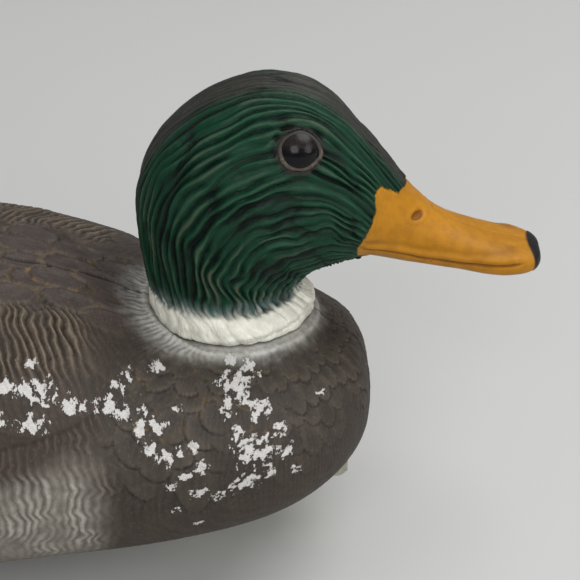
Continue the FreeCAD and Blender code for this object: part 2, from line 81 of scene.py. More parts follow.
def set_points(mesh, points):
    mesh.vertices.foreach_set("co", (points * MM + np.array(neck)).ravel())
    mesh.update()


def new_object(name, data):
    made = bpy.data.objects.new(name, data)
    bpy.context.scene.collection.objects.link(made)
    return made


def ease(low, high, value):
    """0 below low, 1 above high, and a smooth rise between them."""
    share = np.clip((value - low) / (high - low), 0.0, 1.0)
    return share * share * (3 - 2 * share)


def bump(value, middle, reach):
    """1 at the middle, falling to 0 at the reach."""
    return 1 - ease(0.0, reach, np.abs(value - middle))


def store(mesh, **layers):
    """Keeps numbers for each vertex with the mesh, for its material to read."""
    for name, values in layers.items():
        layer = mesh.attributes.new(name, "FLOAT", "POINT")
        layer.data.foreach_set("value", np.asarray(values, dtype=np.float32))


print("a quarter of the way eases to", ease(0.0, 1.0, 0.25))


# %% Smooth noise on a lattice
def lattice(cells, seed):
    mixed = (cells[:, 0] * 73856093) ^ (cells[:, 1] * 19349663) ^ (cells[:, 2] * 83492791)
    mixed = (mixed ^ (seed * 2654435761)) & 0xFFFFFFFF
    mixed = ((mixed ^ (mixed >> 15)) * 2246822519) & 0xFFFFFFFF
    mixed = ((mixed ^ (mixed >> 13)) * 3266489917) & 0xFFFFFFFF
    return ((mixed ^ (mixed >> 16)) & 0xFFFF) / 32767.5 - 1


def noise(points, size, seed):
    """Value noise between -1 and 1; size is one number or one for each axis."""
    scaled = points / np.asarray(size, dtype=float)
    base = np.floor(scaled).astype(np.int64)
    part = scaled - base
    part = part * part * (3 - 2 * part)
    total = np.zeros(len(points))
    for corner in range(8):
        step = np.array([corner & 1, corner >> 1 & 1, corner >> 2 & 1])
        sides = [part[:, axis] if step[axis] else 1 - part[:, axis] for axis in range(3)]
        total += sides[0] * sides[1] * sides[2] * lattice(base + step, seed)
    return total


def rough(points, size, seed, octaves=3):
    """Noise with finer and weaker noise added on top."""
    total = np.zeros(len(points))
    share = 1.0
    for octave in range(octaves):
        total += share * noise(points, np.asarray(size) / 2 ** octave, seed + octave)
        share *= 0.5
    return total


FLAT_DEPTH = 9.0


def flat_points(first, second, third=0.0):
    """Two coordinates on a surface as points; the third keeps two patterns apart."""
    return np.column_stack([first, second, np.full(len(first), third)])


def flow_noise(flat, along, across, seed):
    """Noise on flat points, drawn out by its size along and across the feathers."""
    return noise(flat, (along, across, FLAT_DEPTH), seed)


sample = flow_noise(flat_points(np.arange(500.0), np.arange(500.0)), 7.0, 5.0, 1)
print("noise runs from", sample.min().round(2), "to", sample.max().round(2))


# %% [markdown]
# ## Turning a thin shell into carvable stock
# The real decoy is moulded in hollow halves. A half shell comes from the frame as a few long
# triangles, too coarse to carve. Subdividing them would keep their long thin shape, so a voxel
# remesh turns the shell into an even grid instead, thin wall and all. The inner wall needs no
# detail, so it is thinned out again once the outside is carved.

# %% Remeshing and thinning
def carved_stock(node, name, voxel):
    """A fine, even copy of a frame node as a new object."""
    stock = bpy.data.meshes.new(name)
    work = bmesh.new()
    work.from_mesh(frame["nodes"][node].data)
    bmesh.ops.remove_doubles(work, verts=work.verts, dist=1e-6)
    work.to_mesh(stock)
    work.free()
    piece = new_object(name, stock)
    grid = piece.modifiers.new("even grid", "REMESH")
    grid.mode = "VOXEL"
    grid.voxel_size = voxel
    apply_modifiers(piece)
    return piece


def apply_modifiers(piece):
    graph = bpy.context.evaluated_depsgraph_get()
    finished = bpy.data.meshes.new_from_object(piece.evaluated_get(graph))
    piece.modifiers.clear()
    piece.data = finished
    finished.name = piece.name


MOST_TRIANGLES = 190000
KEPT_INSIDE = 0.04


def triangles_in(piece):
    piece.data.calc_loop_triangles()
    return len(piece.data.loop_triangles)


def thin(piece, inner):
    """Collapses the plain inner wall first, then a little of everything, to the budget."""
    group = piece.vertex_groups.new(name="inner")
    group.add(np.nonzero(inner)[0].tolist(), 1.0, "REPLACE")
    fewer = piece.modifiers.new("thin inside", "DECIMATE")
    fewer.ratio = 1.0 - (1 - KEPT_INSIDE) * np.count_nonzero(inner) / len(inner)
    fewer.vertex_group = "inner"
    fewer.vertex_group_factor = 1000.0
    apply_modifiers(piece)
    piece.vertex_groups.clear()
    count = triangles_in(piece)
    if count > MOST_TRIANGLES:
        evenly = piece.modifiers.new("thin evenly", "DECIMATE")
        evenly.ratio = MOST_TRIANGLES / count
        apply_modifiers(piece)
    return triangles_in(piece)


def spread_normals(mesh, rounds):
    """The mesh's normals, each averaged with its neighbours' so that no grid step shows."""
    normal = normals_of(mesh)
    pairs = np.empty(len(mesh.edges) * 2, dtype=np.int64)
    mesh.edges.foreach_get("vertices", pairs)
    pairs = pairs.reshape(-1, 2)
    count = np.maximum(np.bincount(pairs.ravel(), minlength=len(normal)), 1)[:, None]
    for _ in range(rounds):
        total = np.zeros_like(normal)
        np.add.at(total, pairs[:, 0], normal[pairs[:, 1]])
        np.add.at(total, pairs[:, 1], normal[pairs[:, 0]])
        normal = (normal + total / count) / 2
    return normal


# %% [markdown]
# ## Reading a body's sections
# Feathers follow the body, so the relief needs two coordinates on it: how far along, and how
# far round the section from the top. Both are measured from the mesh itself, by looking for
# the top, the bottom and the widest point in narrow slices.

# %% Section coordinates
SLICES = 60


def slice_edges(along, value, low, high, take):
    """The extreme value in each of many slices, as a smooth curve over the slices."""
    index = np.clip(((along - low) / (high - low) * SLICES).astype(int), 0, SLICES - 1)
    start = -np.inf if take is np.maximum else np.inf
    found = np.full(SLICES, start)
    take.at(found, index, value)
    known = np.isfinite(found)
    places = low + (np.arange(SLICES) + 0.5) * (high - low) / SLICES
    found = np.interp(places, places[known], found[known])
    return np.interp(along, places, found)


def round_angle(along, height, side, low, high, middle_width):
    """Angle round the section, 0 at the top and pi at the bottom, with the section's middle."""
    near = np.abs(side) < middle_width
    tops = slice_edges(along, np.where(near, height, -1e3), low, high, np.maximum)
    bottoms = slice_edges(along, np.where(near, height, 1e3), low, high, np.minimum)
    widths = slice_edges(along, np.abs(side), low, high, np.maximum)
    middle = (tops + bottoms) / 2
    half = np.maximum((tops - bottoms) / 2, 1.0)
    return np.arctan2(np.abs(side) / np.maximum(widths, 1.0), (height - middle) / half), middle


# %% Which way is outside
FACING_IN = -0.2
UNDERSIDE = 2.5
FACING_OUT = (0.1, 0.45)


def outward_share(points, normal, centre):
    """How squarely each vertex faces away from the section's middle."""
    away = points - centre
    away /= np.maximum(np.linalg.norm(away, axis=1), 1e-6)[:, None]
    return np.sum(away * normal, axis=1)


def level_at_seam(points, normal, reach):
    """Near the centre plane the relief rises straight up, so both halves still meet."""
    share = ease(0.0, reach, np.abs(points[:, 1]))
    normal = normal.copy()
    normal[:, 1] *= share
    return normal / np.maximum(np.linalg.norm(normal, axis=1), 1e-6)[:, None]


# %% [markdown]
# ## The head's flow
# Head feathers run back from the bill, over the cheek and the eye, and down the neck. They
# turn about a point in front of the throat, so the angle about that point measures how far
# along a feather lies, and the angle round the section says which row it is in.

# %% Head coordinates
THROAT = (33.0, 6.0)
SWING_FROM, SWING_TO = -25.0, 175.0
VOXEL_HEAD = 0.43 * MM
ROW_STEP = 2.75
HALVES_APART = 50.0
ROUND_TO_MM = 26.0
SWING_TO_MM = 0.7


def head_coordinates(points):
    ahead = points[:, 0] - THROAT[0]
    above = points[:, 2] - THROAT[1]
    swing = np.degrees(np.arctan2(above, -ahead))
    reach = np.hypot(ahead, above)
    angle, middle = round_angle(swing, reach, points[:, 1], SWING_FROM, SWING_TO, 4.0)
    turned = np.radians(swing)
    centre = np.column_stack([THROAT[0] - middle * np.cos(turned), np.zeros(len(points)),
                              THROAT[1] + middle * np.sin(turned)])
    return swing, angle, centre


# %% [markdown]
# ## Where the bill, the ring and the eye begin
# The bill's paint stops at a lobed line. On the side it is drawn by height, and over the
# forehead by distance from the middle, where a green point reaches forward onto the bill.
# The mouth's line is drawn the same way, as a short list of places along the bill.

# %% Head zones
SIDE_HEIGHTS = [22.0, 28.9, 32.9, 39.4, 42.4, 47.5, 49.2, 51.0]
SIDE_STARTS = [41.0, 39.1, 40.8, 44.0, 44.7, 44.4, 46.6, 56.0]
POINT_WIDTHS = [0.0, 3.9, 8.4, 9.8, 13.1, 15.0]
POINT_STARTS = [55.0, 54.3, 52.2, 50.0, 46.0, 40.0]
RING_TOP = 8.6
NECK_RADIUS = 25.5
LIP_PLACES = [38.0, 46.6, 59.3, 71.8, 84.1, 94.0]
LIP_HEIGHTS = [30.0, 28.0, 23.8, 21.9, 21.3, 21.8]
NOSTRIL = (58.3, 37.0)
EYE_RADIUS = 6.1
EYE_TILT, EYE_TOE_IN = math.radians(24.0), math.radians(10.0)
eye_low, eye_high = (np.array(corner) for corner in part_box("eye_left"))
eye_height = (eye_low[2] + eye_high[2]) / 2


def bill_zone(points, side):
    start = np.interp(points[:, 2], SIDE_HEIGHTS, SIDE_STARTS)
    point = np.interp(np.abs(points[:, 1]), POINT_WIDTHS, POINT_STARTS)
    start = np.where(points[:, 2] > 43.5, np.maximum(point, np.minimum(start, 50.0)), start)
    start += 0.5 * noise(points, 2.3, 11 + side) + 0.3 * noise(points, 0.9, 17)
    return ease(-0.2, 0.2, points[:, 0] - start)


def ring_zone(points):
    edge = RING_TOP + 0.7 * noise(points, (3.2, 3.2, 9.0), 23)
    return 1 - ease(-0.7, 0.7, points[:, 2] - edge)


def eye_centre(side):
    middle = ((eye_low + eye_high) / 2 - np.array(neck)) / MM
    return middle * np.array([1, side, 1])


def look_direction(side):
    """The eye's axis: mostly sideways, a little up and a little forward."""
    look = Vector((math.sin(EYE_TOE_IN), side * math.cos(EYE_TOE_IN), math.tan(EYE_TILT)))
    return np.array(look.normalized())


def eye_distance(points, side):
    """Distance from the eye's axis."""
    away = points - eye_centre(side)
    look = look_direction(side)
    return np.linalg.norm(away - np.outer(away @ look, look), axis=1)


# %% [markdown]
# ## Carving the head
# Each row of feathers is round on top, with a sharp groove to the next. A perfect comb would
# look machined, so slow noise bends the rows, a quicker noise lets them split and join, and
# another makes them weaker in places. Long creases then cross them, where noise is folded at
# zero: its absolute value has a sharp line wherever the noise changes sign.

# %% Ridges
def ridge(phase):
    """A row's profile: round on top where the phase is whole, sharp in the groove between."""
    wave = 0.5 + 0.5 * np.cos(2 * math.pi * phase)
    return 0.4 * wave + 0.6 * np.abs(np.cos(math.pi * phase))


def crease(folded):
    """1 where noise changes sign, falling away on both sides of that line."""
    return np.clip(1 - 3.0 * np.abs(folded), 0.0, 1.0)


def head_relief(swing, angle, side):
    """Relief, its bent coordinates, the phase and strength of the rows, and the fold."""
    flat = flat_points(swing * SWING_TO_MM, angle * ROUND_TO_MM, HALVES_APART * side + 0.5)
    wander = 2.4 * flow_noise(flat, 17.0, 26.0, 31) + 1.5 * flow_noise(flat, 5.5, 8.0, 32)
    bent = flat.copy()
    bent[:, 1] += wander
    phase = bent[:, 1] / ROW_STEP + 0.48 * flow_noise(bent, 6.0, 4.0, 35)
    strength = np.clip(0.72 + 1.0 * flow_noise(bent, 5.0, 3.4, 33), 0.15, 1.0)
    fold = flow_noise(bent + 3.0, 16.0, 3.6, 36)
    height = 0.95 * (ridge(phase) - 0.6) * (0.25 + 0.75 * strength) - 0.38 * crease(fold)
    height -= 0.16 * crease(flow_noise(bent, 5.5, 1.8, 34))
    return height + 0.25, bent, phase, strength, fold


print("a row's crest", ridge(0.0), "its flank", round(float(ridge(0.25)), 2), "its groove",
      round(float(ridge(0.5)), 2))

# %% [markdown]
# ## The ring, the brow and the bill
# The white ring is a swollen roll of short slanted tufts. The eye sits under a crease, and the
# bill carries a mouth line with a roll above it, two nostrils and a raised nail at its tip.
# These are single features at known places, so each is a bump or a dip about its own line.

# %% Ring, eye and bill relief
def ring_relief(points):
    """Short slanted tufts round the white ring, swelling at its middle."""
    round_neck = np.arctan2(points[:, 1], -points[:, 0]) * NECK_RADIUS
    flat = flat_points(round_neck, points[:, 2])
    slant = round_neck - 0.85 * np.sign(points[:, 1]) * -points[:, 2]
    phase = (slant + 4.2 * flow_noise(flat, 9.0, 6.0, 41)) / 6.2
    tufts = 1 - np.abs(np.sin(math.pi * phase)) ** 0.8
    fine = ridge(phase * 4.1 + 0.7 * noise(flat, 3.0, 43))
    swell = bump(points[:, 2], 4.4, 6.4)
    lumps = 0.35 * rough(points, 3.2, 44, 2)
    return -0.60 * tufts + 0.20 * fine + 0.9 * swell + lumps - 0.02


def eye_relief(points, side):
    """A soft swelling round the eye with a crease over it."""
    distance = eye_distance(points, side)
    above = (points - eye_centre(side))[:, 2] / np.maximum(distance, 0.1)
    brow = ease(-0.1, 0.7, above)
    crease = -0.6 * bump(distance, EYE_RADIUS + 1.9, 1.3) * (0.35 + 0.65 * brow)
    swell = 0.35 * bump(distance, EYE_RADIUS + 3.6, 2.2) * brow
    return crease + swell, distance


def bill_relief(points):
    """The bill's relief, and the share of the nail in it."""
    lip = np.interp(points[:, 0], LIP_PLACES, LIP_HEIGHTS)
    flank = ease(4.0, 7.0, np.abs(points[:, 1])) * ease(40.5, 42.5, points[:, 0])
    flank *= 1 - ease(88.0, 93.0, points[:, 0])
    mouth = -0.8 * bump(points[:, 2], lip, 0.75) * flank
    roll = 0.45 * bump(points[:, 2], lip + 1.5, 1.3) * flank
    roll -= 0.25 * bump(points[:, 2], lip + 3.6, 1.6) * flank
    hole = np.hypot((points[:, 0] - NOSTRIL[0]) / 2.0, (points[:, 2] - NOSTRIL[1]) / 1.2)
    nostril = -1.0 * (1 - ease(0.45, 1.15, hole)) + 0.16 * bump(hole, 1.6, 0.6)
    nail_start = 93.4 + 0.02 * points[:, 1] ** 2
    nail = ease(-0.3, 0.4, points[:, 0] - nail_start)
    waves = 0.12 * rough(points, 9.0, 51, 3)
    return mouth + roll + nostril + 0.25 * nail + waves, nail


print("right eye", eye_centre(-1).round(2), "mm from the neck circle's centre")

# %% [markdown]
# ## Paint as vertex colour
# The sprayer lays broad fields of colour with soft edges, and the relief decides where wear leaves a lighter
# ridge. The relief also lays painted shade in the grooves and painted light on the crests. Both are worked out per
# vertex here and stored with the mesh. The fine speckle comes later, in the material.

# %% Colour helpers
def paint(red, green, blue):
    """A colour given as seen on a screen, 0 to 255, turned into the renderer's own scale."""
    share = np.array([red, green, blue]) / 255.0
    return np.where(share <= 0.04045, share / 12.92, ((share + 0.055) / 1.055) ** 2.4)


def mix(under, over, share):
    share = np.clip(share, 0.0, 1.0)[:, None]
    return under * (1 - share) + over * share


def shaded_field(dark, light, share):
    """A field of one paint, with painted shade in the grooves and painted light on the crests."""
    return mix(np.tile(dark, (len(share), 1)), light, share)


def store_colour(mesh, colours):
    layer = mesh.color_attributes.new("paint", "FLOAT_COLOR", "POINT")
    full = np.column_stack([np.clip(colours, 0, 1), np.ones(len(colours))])
    layer.data.foreach_set("color", full.astype(np.float32).ravel())


# %% [markdown]
# ## The head's paint
# The green gets painted shade in its grooves and a painted sheen on its crests, a grey brown stripe runs over the
# crown, and the white of the ring was sprayed upwards, so it drifts onto the green. The bill is masked and orange.
# The layers are mixed in the order a painter lays them, each over the one before.

# %% Head colours
GREEN_DEEP = paint(2, 16, 10)
GREEN_FACE = paint(0, 56, 35)
GREEN_SHEEN = paint(44, 88, 66)
CROWN_BROWN = paint(54, 50, 48)
LID_SHADE = paint(34, 32, 27)
WORN_BROWN = paint(100, 90, 76)
MIST = paint(120, 138, 138)
RING_WHITE = paint(245, 243, 229)
RING_SHADE = paint(176, 168, 142)
BILL_ORANGE = paint(180, 121, 20)
BILL_SHADE = paint(134, 81, 12)
NAIL_BLACK = paint(22, 20, 20)


def head_paint(points, relief, flat, angle, swing, zones):
    """The head's layers of paint; zones are the bill, ring and nail, and the eye's distance."""
    bill, ring, nail, eye_away = zones
    crest = ease(-0.45, 0.10, relief)
    # Painted shade: the row grooves get a dark green, the crests the full green.
    colours = shaded_field(GREEN_DEEP, GREEN_FACE, crest)
    # Painted sheen: a lighter green on the higher crests, broken by noise.
    wear_and_sheen = ease(0.25, 0.60, relief) * (0.50 + 0.8 * flow_noise(flat, 11.0, 4.0, 61))
    colours = mix(colours, GREEN_SHEEN, 0.6 * wear_and_sheen)
    back = 1 - ease(20.0, 75.0, swing)
    side_patch = (0.35 + 0.65 * back) * (0.35 + 0.9 * flow_noise(flat, 8.0, 2.6, 62))
    colours = mix(colours, WORN_BROWN, 0.8 * side_patch * ease(0.28, 0.55, relief))
    far_side = 0.26 * (points[:, 1] > 0)
    crown = 1 - ease(0.12, 0.40, angle - far_side + 0.09 * flow_noise(flat, 8.0, 4.0, 63))
    # The crown stripe is real paint; its darker grooves and lighter crests are painted shade and light.
    colours = mix(colours, CROWN_BROWN * (0.40 + 0.7 * crest[:, None]), 0.88 * crown)
    by_lid = 1 - ease(EYE_RADIUS + 0.9, EYE_RADIUS + 2.0, eye_away)
    colours = mix(colours, LID_SHADE, 0.9 * by_lid)
    mist_edge = points[:, 2] + 2.6 * flow_noise(flat, 6.0, 1.3, 64)
    mist = 1 - ease(RING_TOP, RING_TOP + 7.0, mist_edge)
    colours = mix(colours, MIST, 0.75 * mist * (0.55 + 0.45 * crest))
    spray = 1 - ease(RING_TOP - 1.0, RING_TOP + 3.0, mist_edge)
    colours = mix(colours, RING_WHITE, 0.8 * spray)
    # Painted shade in the grooves of the white ring and of the orange bill.
    colours = mix(colours, shaded_field(RING_SHADE, RING_WHITE, ease(-0.75, 0.1, relief)), ring)
    orange = shaded_field(BILL_SHADE, BILL_ORANGE, ease(-0.55, -0.05, relief))
    orange = orange * (1 + 0.07 * rough(points, 11.0, 65, 2)[:, None])
    colours = mix(colours, orange, bill)
    return mix(colours, NAIL_BLACK, nail * bill)


# %% [markdown]
# ## Making the two head shells
# The relief moves only the vertices that face out, so the inner wall keeps its place and the
# shell its thickness. The rows' phase and strength are kept with the mesh, because the paint
# draws their grooves again later, sharper than the triangles can.

# %% Head shells
def make_head(side_name, side):
    node_name = "head_shell_" + side_name
    piece = carved_stock(node_name, "carved_head_" + side_name, VOXEL_HEAD)
    mesh = piece.data
    points = points_of(mesh)
    swing, angle, centre = head_coordinates(points)
    normal = spread_normals(mesh, 3)
    facing = outward_share(points, normal, centre)
    bill = bill_zone(points, side)
    ring = ring_zone(points) * (1 - bill)
    feathers, flat, phase, strength, fold = head_relief(swing, angle, side)
    eye_shape, eye_away = eye_relief(points, side)
    near_eye = 1 - ease(EYE_RADIUS, EYE_RADIUS + 1.4, eye_away)
    feathered = (1 - ring) * (1 - bill) * (1 - near_eye)
    relief = feathers * feathered
    relief += ring_relief(points) * ring * ease(-0.2, 1.2, points[:, 2])
    relief -= 0.5 * bump(points[:, 2], RING_TOP + 0.9, 1.1) * (1 - bill)
    bill_shape, nail = bill_relief(points)
    relief += bill_shape * bill + eye_shape
    outside = ease(*FACING_OUT, facing)
    lift = level_at_seam(points, normal, 1.5)
    set_points(mesh, points + lift * (relief * outside)[:, None])
    zones = (bill, ring, nail, eye_away)
    store_colour(mesh, head_paint(points, relief, flat, angle, swing, zones))
    store(mesh, bill=bill, row_phase=phase, row_share=strength * feathered,
          fold=np.abs(fold) + 1 - feathered, flow_along=flat[:, 0], flow_across=flat[:, 1])
    print(node_name, "carved:", thin(piece, facing < FACING_IN), "triangles")
    piece.data.shade_smooth()
    return piece


head_pieces = {"right": make_head("right", -1), "left": make_head("left", 1)}

# %% [markdown]
# ## The hull's feathers
# The breast carries small scales whose tips point away from the neck, the middle of the back
# long soft ones, and the rest of the back and the flank fine wavy bars. A scale is the part
# of a disc that the discs nearer the neck do not cover, so each vertex looks for the first
# disc that holds it and rises towards that disc's edge. Just outside a disc is its shadow
# groove.

# %% Scales
VOXEL_HULL = 0.57 * MM
HULL_ROUND_TO_MM = 52.0
BAR_STEP = 2.7
BREAST_SCALE = {"row": 7.0, "column": 7.6, "radius": 6.2, "width": 4.9, "seed": 81}
BACK_LOBE = {"row": 13.0, "column": 10.5, "radius": 8.2, "width": 4.9, "seed": 86, "soft": 0.30}
LARGE_FEATHER = {"row": 21.0, "column": 17.0, "radius": 15.0, "width": 10.5, "seed": 92}
SIDE_FEATHER = {"row": 34.0, "column": 30.0, "radius": 26.0, "width": 19.0, "seed": 99}
QUILL = {"row": 30.0, "column": 13.0, "radius": 33.0, "width": 8.6, "seed": 96}


def scales(down, across, row, column, radius, width, seed, soft=0.16):
    """Height on overlapping scales, the groove beside them, and each scale's own number."""
    height = np.zeros(len(down))
    groove = np.zeros(len(down))
    own = np.zeros(len(down))
    free = np.ones(len(down), dtype=bool)
    reach = int(math.ceil(radius / row)) + 1
    nearest_row = np.round(down / row).astype(np.int64)
    for step in range(-reach, reach + 1):
        level = nearest_row + step
        offset = 0.5 * (level % 2)
        nearest = np.round(across / column - offset).astype(np.int64)
        for beside in (0, -1, 1):
            place = nearest + beside
            cells = np.column_stack([level, place, np.full(len(level), 7)])
            along_drift = 0.30 * lattice(cells, seed) * row
            side_drift = 0.20 * lattice(cells, seed + 1) * column
            from_row = down - level * row - along_drift
            from_column = across - (place + offset) * column - side_drift
            share = np.hypot(from_row / radius, from_column / width)
            take = free & (share < 1)
            beyond = free & (share >= 1)
            groove[beyond] = np.maximum(groove[beyond], 1 - (share[beyond] - 1) / soft)
            height[take] = share[take] ** 2
            own[take] = lattice(cells, seed + 2)[take]
            free &= ~take
    return height, groove, own


line = np.arange(60.0)
print("groove share of a row of breast scales",
      (scales(line, 0 * line, **BREAST_SCALE)[1] > 0.5).mean().round(2))


# %% [markdown]
# ## Where the hull's feather groups meet
# The folded wing ends in a long edge that falls from the shoulder to the middle of the hull and rises again to the
# tail. The edge is drawn as heights along the hull, and the other groups start and stop at a distance ahead of or
# behind the neck.

# %% Hull zones
HULL_FROM, HULL_TO = -296.0, 46.0
NECK_HOLE_REACH = 32.0
WING_PLACES = [-262.0, -235.0, -200.0, -150.0, -110.0, -66.0, -49.0, -30.0]
WING_HEIGHTS = [3.0, 0.0, -7.0, -14.0, -13.0, -8.7, -5.6, -3.0]


print("the wing's edge falls to", min(WING_HEIGHTS), "mm and ends", WING_PLACES[0], "mm back")


def hull_coordinates(points):
    angle, middle = round_angle(
        points[:, 0], points[:, 2], points[:, 1], HULL_FROM, HULL_TO, NECK_HOLE_REACH)
    centre = np.column_stack([np.minimum(points[:, 0], 22.0), np.zeros(len(points)), middle])
    return angle, centre


def hull_zones(points, side):
    """Shares of breast, wing, flank, rump and tail at each vertex, and the wing's edge."""
    forward = points[:, 0]
    ragged = 3.0 * noise(points, 9.0, 71 + side)
    edge = np.interp(forward, WING_PLACES, WING_HEIGHTS) + 0.8 * np.sin(forward / 6.0)
    over_edge = points[:, 2] - edge
    breast = ease(-39.0, -28.0, forward + 1.3 * ragged)
    wing = ease(-0.6, 0.6, over_edge) * ease(-266.0, -258.0, forward)
    wing = wing * (1 - breast)
    over_tail = wing * ease(-256.0, -250.0, forward)
    zones = {
        "flank": (1 - breast) * (1 - wing),
        "breast": breast,
        "wing": wing,
        "rump": (1 - ease(-214.0, -206.0, forward + ragged)) * (1 - over_tail),
        "tail": 1 - ease(-258.0, -252.0, forward + ragged),
    }
    return zones, over_edge


# %% [markdown]
# ## Carving the hull
# Every group has its own relief, and the groups fade into each other, because the mould was
# cut by hand and has no hard borders. Bars are rows bent by noise, hairs are very fine rows,
# and everything larger is made of scales. The bars lean back as they come down the side, so
# they are counted along a slanted line.

# %% Hull relief
def bars(down, across, step, seed):
    """Fine wavy bars across the feathers: height, phase and strength."""
    flat = flat_points(down, across)
    wander = 1.7 * flow_noise(flat, 24.0, 9.0, seed) + 1.0 * flow_noise(flat, 12.0, 3.2, seed + 1)
    phase = (down + wander) / step + 0.28 * flow_noise(flat, 4.0, 4.0, seed + 3)
    strength = np.clip(0.85 + 0.6 * flow_noise(flat, 5.0, 9.0, seed + 2), 0.4, 1.1)
    return ridge(phase) * strength, phase, strength


def hair(down, across, step, seed):
    """Fine lines that run down the feathers."""
    flat = flat_points(down, across)
    return ridge(across / step + 0.8 * flow_noise(flat, 11.0, 2.6 * step, seed))


def breast_relief(points, angle, side):
    """Small scales whose tips point away from the neck, over fine hairs."""
    from_neck = np.hypot(points[:, 0], points[:, 1])
    down = np.hypot(np.maximum(from_neck - 26.0, 0.0), np.minimum(points[:, 2], 0.0))
    azimuth = np.arctan2(np.abs(points[:, 1]), points[:, 0])
    spin = 54.0 * (azimuth + 0.3 * (1 - np.exp(-azimuth / 0.6)))
    bent = spin + 2.0 * noise(points, 17.0, 80)
    scale, groove, own = scales(
        down + 2.4 * noise(points, 13.0, 79) + 40, bent + 200 * side, **BREAST_SCALE)
    share = np.clip(0.62 + 1.0 * noise(points, 10.0, 78), 0.08, 1.1)
    share *= 1 - 0.7 * ease(1.25, 1.7, angle)
    hairs = hair(down, spin, 1.7, 84)
    low_lines = hair(spin, down, 2.0, 85) * (1 - ease(-44.0, -28.0, points[:, 2]))
    height = share * (0.50 * scale - 0.55 * groove) + 0.14 * hairs + 0.2 * low_lines
    return height, groove, own, hairs


# %% Wing, flank and tail relief
def side_relief(points, angle, side):
    """Bars over large faint feathers on the wing, fainter on the flank, quills at the back."""
    forward = points[:, 0]
    round_back = angle * HULL_ROUND_TO_MM
    lean = -forward + 0.42 * np.abs(points[:, 1])
    barred, phase, strength = bars(lean, round_back, BAR_STEP, 90)
    large, large_groove, _ = scales(
        lean + 4.0 * noise(points, 30.0, 95), round_back + 7.0 * side + 300, **LARGE_FEATHER)
    lowest_bar = ease(0.66, 0.86, angle + 0.08 * noise(points, 14.0, 91))
    wing_bars = 1 - lowest_bar * ease(-150.0, -100.0, forward)
    wing_bars *= 1 - ease(-52.0, -38.0, forward + 5.0 * noise(points, 9.0, 89))
    barred_wing = barred * (0.2 + 0.8 * wing_bars) + 0.05 * (1 - wing_bars)
    side_feather, side_groove, _ = scales(
        -forward + 0.9 * round_back, round_back + 0.3 * forward + 300, **SIDE_FEATHER)
    quill, quill_groove, _ = scales(
        -forward + 0.25 * round_back, round_back + 300, **QUILL)
    lines = hair(-forward, round_back, 1.7, 97)
    shape = {
        "wing": 0.95 * barred_wing + 0.20 * large - 0.12 * large_groove,
        "flank": 0.52 * barred + 0.10 * side_feather - 0.12 * side_groove,
        "tail": 0.95 * quill - 0.30 * quill_groove + 0.16 * lines,
    }
    grooves = {"wing": 0.4 * large_groove, "flank": side_groove, "tail": quill_groove}
    return shape, grooves, phase, strength, wing_bars


# %% The whole hull's relief
def hull_relief(points, angle, zones, side):
    """Height, groove, each scale's number, the middle of the back, and the bars' rows."""
    forward = points[:, 0]
    breast, breast_groove, breast_own, hairs = breast_relief(points, angle, side)
    shape, grooves, phase, strength, wing_bars = side_relief(points, angle, side)
    lobe, lobe_groove, lobe_own = scales(
        -forward + 2.5 * noise(points, 15.0, 87), points[:, 1] + 300, **BACK_LOBE)
    lobe_lines = hair(-forward, points[:, 1], 1.6, 88)
    middle_back = 1 - ease(0.30, 0.44, angle + 0.08 * noise(points, 12.0, 94))
    quilled = 1 - ease(-172.0, -150.0, forward + 6 * noise(points, 12.0, 93))
    lobes = 0.95 * lobe - 0.45 * lobe_groove + 0.20 * lobe_lines
    wing = shape["wing"] * (1 - middle_back) + lobes * middle_back
    shape["wing"] = wing * (1 - quilled) + shape["tail"] * quilled
    shape["breast"], grooves["breast"] = breast, breast_groove
    shape["rump"] = 0.45 * lobe - 0.3 * lobe_groove + 0.2 * lobe_lines
    grooves["rump"] = lobe_groove
    grooves["wing"] = lobe_groove * middle_back + grooves["wing"] * (1 - middle_back)
    total = np.zeros(len(points))
    groove = np.zeros(len(points))
    for zone, share in zones.items():
        total = total * (1 - share) + shape[zone] * share
        groove = groove * (1 - share) + grooves[zone] * share
    under = 1 - ease(1.9, 2.3, angle)
    total = total * under + 0.12 * hairs * (1 - under)
    own = breast_own * zones["breast"] + lobe_own * (1 - zones["breast"])
    on_wing = zones["wing"] * (1 - middle_back) * (1 - quilled) * wing_bars
    strength = strength * (on_wing + 0.38 * zones["flank"]) * (1 - zones["rump"]) * under
    return total - 0.3, np.clip(groove, 0, 1), own, middle_back, phase, strength


# %% [markdown]
# ## The seam and the neck's seat
# The two halves meet in a groove that wanders along the back, where the glued edge was scraped
# by hand. The head sits in a dished seat, which stays plain so that it can turn, and stiff
# short feathers stand round it. The seam's wander moves both halves alike, so no gap opens.

# %% Seam and neck seat
def seam_wave(points):
    """How far the joint wanders to the side along the back."""
    wave = 1.3 * np.sin(points[:, 0] / 8.0 + 0.6) + 0.6 * np.sin(points[:, 0] / 3.7)
    return wave * ease(-28.0, -40.0, points[:, 0]) * ease(0.0, 6.0, points[:, 2] + 4)


def collar_relief(points):
    """Short stiff ridges that run out from the neck ring, longest behind it."""
    away = np.hypot(points[:, 0], points[:, 1])
    azimuth = np.arctan2(points[:, 1], -points[:, 0])
    behind = 1 - ease(0.9, 1.5, np.abs(azimuth))
    rays = ridge(azimuth * 29.0 / 1.9 + 0.7 * noise(points, 4.0, 111))
    lip = 0.55 * bump(away, 28.0, 1.3) * ease(-4.0, -1.5, points[:, 2])
    reach = 5.0 + 5.0 * behind
    share = bump(away, 29.0, reach) * ease(-12.0, -6.0, points[:, 2])
    return rays * (0.14 + 0.55 * behind), lip, share


def seat_share(points):
    """1 on the seat under the neck and in its hole, 0 out on the open hull."""
    away = np.hypot(points[:, 0], points[:, 1])
    return (1 - ease(26.4, 27.4, away)) * ease(-9.0, -5.0, points[:, 2])
